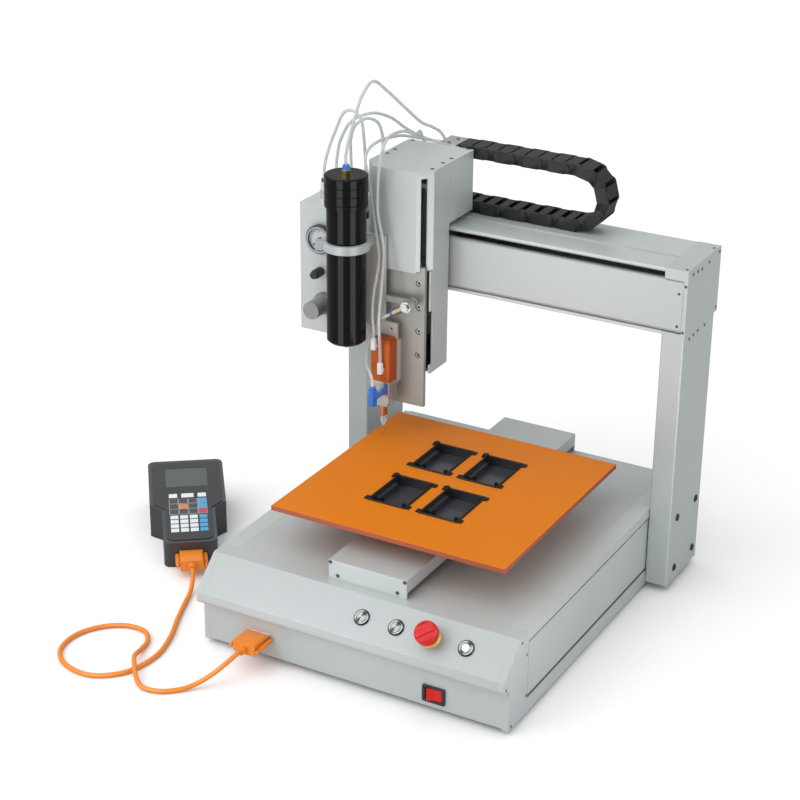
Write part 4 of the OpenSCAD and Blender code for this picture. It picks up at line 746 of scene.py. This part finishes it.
ROUTE_CABLE = [
    (-310, -138, 18), (-304, -146, 17), (-297, -158, 11), (-291, -172, 5), (-283, -195, 3.3),
    (-268, -233, 3.1), (-250, -275, 3.1), (-240, -320, 3.1), (-250, -366, 3.1), (-282, -393, 3.1),
    (-322, -390, 3.1), (-350, -366, 3.1), (-356, -330, 3.1), (-342, -298, 3.1), (-316, -278, 3.1),
    (-288, -277, 3.1), (-270, -294, 3.3), (-263, -318, 5), (-256, -340, 10), (-243, -358, 10),
    (-230, -373, 7), (-213, -384, 3.4), (-190, -381, 3.2), (-171, -366, 3.4), (-158, -351, 7),
    (-145, -337, 16), (-134, -322, 27), (-130, -308, 32), (-130, -297, 32)]


def add_hoses():
    hose_cap = tube("hose_cap", ROUTE_CAP, HOSE_R, hose_clear)
    hose_over = tube("hose_over", ROUTE_OVER, HOSE_R, hose_clear)
    hose_side = tube("hose_side", ROUTE_SIDE, HOSE_R, hose_clear)
    hose_fluid = tube("hose_fluid", ROUTE_FLUID, HOSE_R, hose_clear)
    spot(*ROUTE_CAP[-1])
    spot(*ROUTE_CAP[0])
    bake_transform(hose_cap)
    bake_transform(hose_over)
    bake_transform(hose_side)
    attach(hose_fluid, "tool")
    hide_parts("tool_hoses")
    head_hoses = [tube(name, route, HOSE_R, hose_clear) for name, route in (
        ("hose_box", ROUTE_BOX), ("hose_supply", ROUTE_SUPPLY), ("hose_short", ROUTE_SHORT))]
    for hose in head_hoses:
        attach(hose, "head")
    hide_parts("head_hoses")


def add_cable():
    cable = tube("pendant_cord", ROUTE_CABLE, CABLE_R, orange, CABLE_SIDES)
    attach(cable, "frame")
    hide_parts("cable")


add_hoses()
add_cable()

# Drag chain: two runs between the beam and the head; the upper chain is cut into its run and its bend
CHAIN_BEND_X = 59.0
WELD = 2e-6
CHAIN_SHARP = math.radians(30)


def islands(bm):
    """Groups of joined vertices, one for each link."""
    seen = set()
    for start in bm.verts:
        if start in seen:
            continue
        seen.add(start)
        island, todo = [], [start]
        while todo:
            vert = todo.pop()
            island.append(vert)
            for edge in vert.link_edges:
                other = edge.other_vert(vert)
                if other not in seen:
                    seen.add(other)
                    todo.append(other)
        yield island


def chain_piece(name, node, keep):
    """A copy of a chain node with only the links whose middle x, in mm, keep accepts."""
    mesh = nodes[node].data.copy()
    bm = bmesh.new()
    bm.from_mesh(mesh)
    bmesh.ops.remove_doubles(bm, verts=bm.verts, dist=WELD)
    dropped = []
    for island in islands(bm):
        if not keep(sum(vert.co.x for vert in island) / len(island) / MM):
            dropped += island
    bmesh.ops.delete(bm, geom=dropped, context="VERTS")
    bm.to_mesh(mesh)
    bm.free()
    mesh.shade_smooth()
    mesh.set_sharp_from_angle(angle=CHAIN_SHARP)
    piece = bpy.data.objects.new(name, mesh)
    scene.collection.objects.link(piece)
    return piece


def add_chain():
    lower = chain_piece("chain_run_lower", "chain_lower", lambda x: True)
    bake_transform(lower)
    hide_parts("chain_lower")
    bend = chain_piece("chain_bend", "chain_upper", lambda x: x > CHAIN_BEND_X)
    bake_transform(bend)
    upper = chain_piece("chain_run_upper", "chain_upper", lambda x: x <= CHAIN_BEND_X)
    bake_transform(upper)
    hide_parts("chain_upper")


add_chain()

# Screws: radius and height of the heads, then places on each face, two of x, y and z in mm
CHEEK_HEAD = (2.0, 0.4)
COVER_HEAD = (2.6, 0.8)
BEAM_TOP_HEAD = (2.0, 0.5)
BEAM_END_HEAD = (2.2, 0.5)
BEAM_FRONT_HEAD = (1.9, 0.5)
COLUMN_HEAD = (5.0, 1.5)
BACK_HEAD = (2.2, 0.8)
HEAD_TOP_HEAD = (2.8, 0.4)
CHAIN_BRACKET_HEAD = (2.4, 1.0)
TOOL_BRACKET_HEAD = (2.4, 1.6)
CHEEK_SCREWS = ((-225, 109), (-212, 87), (-210, 31), (-264, 67), (-248, 10))
COVER_SCREWS = ((-51, 138.5), (51, 138.5), (-41, 122), (41, 122))
BEAM_TOP_SCREWS = ((236, 151), (236, 241))
BEAM_END_SCREWS = (
    (161.5, 438.4), (176.5, 437.7), (190.4, 436.5), (214.4, 438), (249.2, 441),
    (162.4, 352.8), (175.7, 354), (190.7, 354.5), (213.9, 354), (250.5, 366))
BEAM_FRONT_SCREWS = ((229.8, 416.2), (229.8, 373.3), (238, 427), (238, 366.5))
COLUMN_BOLTS = ((230, 102), (167, 102), (230, 29), (168, 28))
BACK_SCREWS = ((-174.8, 40), (-174.8, 90), (174.8, 40), (174.8, 90))
HEAD_TOP_SCREWS = (
    (-174, 133), (-174, 153), (-174, 200), (-93, 104.5), (-93, 133), (-93, 155.5), (-93, 202))
CHAIN_BRACKET_SCREWS = ((-125, 209), (-122, 229))
TOOL_SCREW_X = (-100, -167)
TOOL_SCREW_Z = (385, 352, 319, 286)
TOOL_SCREW_SEAT = 88.15
TOOL_SCREW_RINGS = [(3.7, -0.1), (3.7, 0.7), (3.2, 1.3), (1.8, 1.3), (1.75, 0.3), (0.1, 0.3)]
TOOL_BRACKET_SCREW = (-130, VALVE_BACK, 322)


def add_frame_screws():
    shape = Shape()
    for side in SIDES:
        for y, z in CHEEK_SCREWS:
            screw(shape, (side * BASE_X, y, z), (side, 0, 0), CHEEK_HEAD)
    for x, z in COVER_SCREWS:
        screw(shape, (x, COVER_FRONT, z), TO_FRONT, COVER_HEAD)
    for side in SIDES:
        for x, y in BEAM_TOP_SCREWS:
            screw(shape, (side * x, y, BEAM_TOP), UPWARDS, BEAM_TOP_HEAD)
        for y, z in BEAM_END_SCREWS:
            screw(shape, (side * COLUMN_X, y, z), (side, 0, 0), BEAM_END_HEAD)
        for x, z in BEAM_FRONT_SCREWS:
            screw(shape, (side * x, BEAM_FRONT, z), TO_FRONT, BEAM_FRONT_HEAD)
    shape.make("frame_screws", [screw_steel, painted_hole_shade], "frame")


def add_column_bolts():
    """Large bolts of the columns and the screws of the back panel."""
    shape = Shape()
    for side in SIDES:
        for y, z in COLUMN_BOLTS:
            screw(shape, (side * COLUMN_X, y, z), (side, 0, 0), COLUMN_HEAD)
    for x, z in BACK_SCREWS:
        screw(shape, (x, BASE_BACK, z), TO_BACK, BACK_HEAD)
    shape.make("column_bolts", [dark_bolt, painted_hole_shade], "frame")


def add_head_screws():
    shape = Shape()
    for x, y in HEAD_TOP_SCREWS:
        screw(shape, (x, y, HEAD_TOP), UPWARDS, HEAD_TOP_HEAD)
    for x, y in CHAIN_BRACKET_SCREWS:
        screw(shape, (x, y, CHAIN_BRACKET_TOP), UPWARDS, CHAIN_BRACKET_HEAD)
    shape.make("head_screws", [screw_steel, painted_hole_shade], "head")


def add_tool_screws():
    """Screws in the tool plate's counterbores and one on its bracket."""
    shape = Shape()
    for x in TOOL_SCREW_X:
        for z in TOOL_SCREW_Z:
            socket_head(shape, (x, TOOL_SCREW_SEAT, z), TO_FRONT, TOOL_SCREW_RINGS)
    screw(shape, TOOL_BRACKET_SCREW, TO_FRONT, TOOL_BRACKET_HEAD)
    shape.make("tool_screws", [steel, painted_hole_shade], "tool")


add_frame_screws()
add_column_bolts()
add_head_screws()
add_tool_screws()

# Small forms of the trays and seams of the base
TRAY_X = (-36, 36)
TRAY_Y = (-70, 38)
TRAY_EDGE = 0.3
SET_IN = 0.1
SEAM_X = BASE_X - 0.4
SEAM_Z = (28, 100.5)


def add_tray_trim():
    """A ledge along the left wall, two clips, a boss, and a dark disc on the lugs of each tray: painted
    shade for a hole.
    """
    floor_finish, rim_finish, hole_shade_finish = 0, 1, 2
    low, lug = TRAY_FLOOR - SET_IN, TRAY_TOP - SET_IN
    ledge = ((-24.6, -20, low), (-19.5, 27, 167.5))
    clips = (((18.5, -31, low), (22.5, -28, 174)), ((-15.5, -24, low), (-12.5, -21, 172)))
    boss_x, boss_y, boss = -27.5, 36.5, [(4.2, 0), (4.2, 1.2), (3.6, 1.6)]
    hole_x, hole_y, hole = 29, 34.3, [(1.5, 0), (1.5, 0.2)]
    shape = Shape()
    for x in TRAY_X:
        for y in TRAY_Y:
            place = Matrix.Translation(spot(x, y, 0))
            shape.box(*ledge, place, floor_finish)
            for clip in clips:
                shape.box(*clip, place, rim_finish)
            shape.lathe(facing((x + boss_x, y + boss_y, lug), UPWARDS), boss, finishes=[rim_finish] * 2)
            shape.lathe(facing((x + hole_x, y + hole_y, lug), UPWARDS), hole, finishes=[hole_shade_finish])
    shape.make("tray_trim", [tray_floor, tray_rim, painted_hole_shade], "table", TRAY_EDGE)


def add_cheek_seams():
    """Seams between the console's cheeks and the side rails."""
    half_width, half_depth = 0.45, 0.3
    shape = Shape()
    for side in SIDES:
        x = side * SEAM_X
        shape.box((x - half_width, SEAM_Y - half_depth, SEAM_Z[0]),
                  (x + half_width, SEAM_Y + half_depth, SEAM_Z[1]))
    shape.make("cheek_seams", [groove_dark], "frame")


add_tray_trim()
add_cheek_seams()

# Faces and rims of the buttons, on the slope of the console; the emergency stop has the third place
BUTTON_PLACES = {"start_button": 0, "pause_button": 1, "ring_button": 3}
BUTTON_X = 12.6
BUTTON_PITCH = 46.2
BUTTON_Y = -250.25
BUTTON_Z = 97.5
SLOPE_DROP = 37
SLOPE_RUN = 40.5
BUTTON_SIDES = 48
CAP_RINGS = [(6.5, -4), (6.5, 2.6), (6.35, 2.9), (6.0, 3.1), (5.2, 3.1), (5.0, 2.7), (4.8, 3.1), (2.4, 3.1),
             (0.4, 3.1)]
RIM_SECTION = [(6.8, 2.1), (6.8, 2.32), (8.5, 2.32), (8.7, 2.1)]
ALL_METAL = [0, 0, 0, 0, 0, 0, 0, 0]
WHITE_CENTRE = [0, 0, 0, 0, 1, 1, 2, 2]


def add_button(name, place):
    x = BUTTON_X + BUTTON_PITCH * place
    slope = Matrix.Rotation(math.atan2(SLOPE_DROP, SLOPE_RUN), 4, "X")
    seat = Matrix.Translation(spot(x, BUTTON_Y, BUTTON_Z)) @ slope
    shape = Shape()
    bands = WHITE_CENTRE if name == "ring_button" else ALL_METAL
    shape.lathe(Matrix.Identity(4), CAP_RINGS, BUTTON_SIDES, finishes=bands)
    cap = shape.make(name + "_cap", [nickel_with_painted_bows, black, white])
    cap.matrix_world = seat
    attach(cap, name + "_body")
    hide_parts(name)
    shape = Shape()
    shape.ring(RIM_SECTION, BUTTON_SIDES)
    rim = shape.make(name + "_rim", [nickel_with_painted_bows])
    rim.matrix_world = seat
    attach(rim, "frame")


for name, place in BUTTON_PLACES.items():
    add_button(name, place)

# Gauge: depths of its layers, and angles from the +x side as seen from the front
GAUGE_SIDES = 48
DIAL_Y = 64.15
SCALE_Y = 64.03
HAND_Y = 63.3
GLASS_Y = 61.2
ZERO_ANGLE = 225
SCALE_SWEEP = 270
SCALE_MARKS = 40
SCALE_R = 13.9


def gauge_place(y, degrees=0):
    """A frame on the gauge's axis with +Z to the front, turned about it."""
    upright = Matrix.Translation(spot(GAUGE_X, y, GAUGE_Z)) @ Matrix.Rotation(math.pi / 2, 4, "X")
    return upright @ Matrix.Rotation(math.radians(degrees), 4, "Z")


def gauge_disc(name, finish, y, rings):
    shape = Shape()
    shape.lathe(facing((GAUGE_X, y, GAUGE_Z), TO_FRONT), rings, GAUGE_SIDES)
    shape.make(name, [finish], "head")


def mark_length(i):
    """Every tenth mark is long and every fifth of the rest is middling."""
    long_mark, middle_mark, short_mark = 4.2, 3.0, 1.8
    if i % 10 == 0:
        return long_mark
    return middle_mark if i % 5 == 0 else short_mark


def add_gauge_scale():
    half_width, thick = 0.22, 0.1
    shape = Shape()
    for i in range(SCALE_MARKS + 1):
        place = gauge_place(SCALE_Y, ZERO_ANGLE - SCALE_SWEEP * i / SCALE_MARKS)
        shape.box((SCALE_R - mark_length(i), -half_width, 0), (SCALE_R, half_width, thick), place)
    shape.make("gauge_scale", [black], "head")


def add_gauge_hand():
    tail, tip, half_width, thick = -5, 12, 0.9, 0.6
    hub = [(2.6, -0.3), (2.6, 0.9)]
    shape = Shape()
    shape.box((tail, -half_width, 0), (tip, half_width, thick), gauge_place(HAND_Y, ZERO_ANGLE))
    shape.lathe(gauge_place(HAND_Y), hub)
    hand = shape.make("gauge_hand", [black], "gauge_needle_body")
    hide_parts("gauge_needle")


gauge_disc("gauge_dial", dial_white, DIAL_Y, [(15.3, 0), (15.3, 0.12)])
add_gauge_scale()
gauge_disc("gauge_glass", lens, GLASS_Y, [(15.4, 0), (15.4, 0.5)])
add_gauge_hand()

# Pendant keys, in the frame of its sloping face
KEY_BASE = 1.2
KEY_RISE = 0.5
OUTLINE_RISE = 0.25
KEY_EDGE = 0.25
KEY_COLUMNS = (-19.5, -6.5, 6.5, 19.5)
LAST_COLUMN = KEY_COLUMNS[-1]
JOG_ROWS = (94.4, 81.7, 69.4)
DIGIT_ROWS = (56.5, 46.4, 36.4, 26.4)
MENU_ROW = 107.5
MENU_X = 19.6
JOG_CENTRE = (KEY_COLUMNS[1], JOG_ROWS[1])
MENU_KEY = (11.4, 9.6)
MENU_CENTRE_KEY = (17, 9.6)
JOG_KEY = (11.6, 10.6)
JOG_OUTLINE = (12.4, 11.4)
DIGIT_KEY = (10.8, 8.2)


def keys(name, finish, size, spots, rise=KEY_RISE):
    half_width, half_length = size[0] / 2, size[1] / 2
    shape = Shape()
    for x, y in spots:
        shape.box((x - half_width, y - half_length, KEY_BASE),
                  (x + half_width, y + half_length, KEY_BASE + rise), pendant_face)
    shape.make(name, [finish], "frame", KEY_EDGE)


def grid(columns, rows):
    return [(x, y) for x in columns for y in rows]


jog_keys = [at for at in grid(KEY_COLUMNS[:3], JOG_ROWS) if at != JOG_CENTRE]
keys("keys_menu", key_white, MENU_KEY, [(-MENU_X, MENU_ROW), (MENU_X, MENU_ROW)])
keys("key_menu_centre", key_white, MENU_CENTRE_KEY, [(0, MENU_ROW)])
keys("key_outlines", key_white, JOG_OUTLINE, grid(KEY_COLUMNS, JOG_ROWS), OUTLINE_RISE)
keys("keys_jog", key_dark, JOG_KEY, jog_keys)
keys("key_jog_centre", key_orange, JOG_KEY, [JOG_CENTRE])
keys("keys_jog_blue", key_blue, JOG_KEY, [(LAST_COLUMN, y) for y in JOG_ROWS[:2]])
keys("key_jog_red", key_red, JOG_KEY, [(LAST_COLUMN, JOG_ROWS[2])])
keys("keys_digit", key_white, DIGIT_KEY, grid(KEY_COLUMNS[:3], DIGIT_ROWS))
keys("keys_enter", key_blue, DIGIT_KEY, [(LAST_COLUMN, y) for y in DIGIT_ROWS])

# Floor, background and lamps
FLOOR_HALF = 15000
FLOOR_Z = -0.2
FLOOR_WHITE = (0.9, 0.9, 0.9)
FLOOR_IN_GLOSS = (0.42, 0.42, 0.42)
FLOOR_ROUGHNESS = 0.9
FLOOR_SHEEN = 0.1
DOME_LOW, DOME_HIGH = 0.15, 0.8
DOME_DIM, DOME_BRIGHT = 0.30, 1.0
SKY_LIGHT = 0.88
BACKGROUND = 1.0


def add_floor():
    """A white floor that shows darker in reflections."""
    material, tree, shader = new_material("floor")
    rays = tree.nodes.new("ShaderNodeLightPath")
    tone = mix_colour(tree, rays.outputs["Is Glossy Ray"], FLOOR_WHITE, FLOOR_IN_GLOSS)
    tree.links.new(tone, shader.inputs["Base Color"])
    shader.inputs["Roughness"].default_value = FLOOR_ROUGHNESS
    shader.inputs["Specular IOR Level"].default_value = FLOOR_SHEEN
    shape = Shape()
    around = ((-1, -1), (1, -1), (1, 1), (-1, 1))
    shape.add([spot(x * FLOOR_HALF, y * FLOOR_HALF, FLOOR_Z) for x, y in around], [(0, 1, 2, 3)])
    shape.make("floor", [material])


def add_world():
    """White behind the object, an even light, and a dome that reflections see dim below and bright above."""
    world = bpy.data.worlds.new("studio")
    scene.world = world
    world.use_nodes = True
    tree = world.node_tree
    tree.nodes.clear()
    output = tree.nodes.new("ShaderNodeOutputWorld")
    background = tree.nodes.new("ShaderNodeBackground")
    background.inputs["Color"].default_value = (1, 1, 1, 1)
    rays = tree.nodes.new("ShaderNodeLightPath")

    def choose(ray, other, when):
        """The value when for rays of one kind and other for the rest."""
        node = tree.nodes.new("ShaderNodeMix")
        tree.links.new(rays.outputs[ray], node.inputs[0])
        for socket, value in ((node.inputs[2], other), (node.inputs[3], when)):
            if isinstance(value, float):
                socket.default_value = value
            else:
                tree.links.new(value, socket)
        return node.outputs[0]

    direction = tree.nodes.new("ShaderNodeTexCoord")
    axes = tree.nodes.new("ShaderNodeSeparateXYZ")
    tree.links.new(direction.outputs["Generated"], axes.inputs[0])
    dome = value_range(tree, axes.outputs["Z"], DOME_DIM, DOME_BRIGHT, DOME_LOW, DOME_HIGH)
    strength = choose("Is Camera Ray", choose("Is Glossy Ray", SKY_LIGHT, dome), BACKGROUND)
    tree.links.new(strength, background.inputs["Strength"])
    tree.links.new(background.outputs["Background"], output.inputs["Surface"])


def lamp(name, kind, energy, at, to, **settings):
    """A lamp at one point in metres that shines towards another."""
    data = bpy.data.lights.new(name, kind)
    data.energy = energy
    for key, value in settings.items():
        setattr(data, key, value)
    light = bpy.data.objects.new(name, data)
    scene.collection.objects.link(light)
    light.location = at
    light.rotation_euler = (Vector(to) - Vector(at)).to_track_quat("-Z", "Y").to_euler()
    return light


def add_lamps():
    """A wide soft sun, a panel at the front and two cards that show as streaks on the barrel."""
    sun_strength, sun_spread = 1.15, math.radians(70)
    panel_power, panel_width, panel_height = 6, 1.4, 1.0
    card_power, card_width, card_height = 1.5, 0.33, 0.38
    on_barrel_axis = (-0.178, 0.036, 0.20)
    lamp("sky_panel", "SUN", sun_strength, (-1.2, -1.6, 3.2), (0, 0, 0), angle=sun_spread)
    lamp("front_panel", "AREA", panel_power, (-1.0, -1.7, 1.2), (0, 0, 0.25), shape="RECTANGLE",
         size=panel_width, size_y=panel_height)
    for name, at in (("card_left", (-0.209, -0.564, 0.20)), ("card_right", (0.378, -0.189, 0.20))):
        card = lamp(name, "AREA", card_power, at, on_barrel_axis, shape="RECTANGLE", size=card_width,
                    size_y=card_height)
        card.visible_camera = False
        card.visible_diffuse = False


add_floor()
add_world()
add_lamps()
scene.view_settings.view_transform = "Standard"
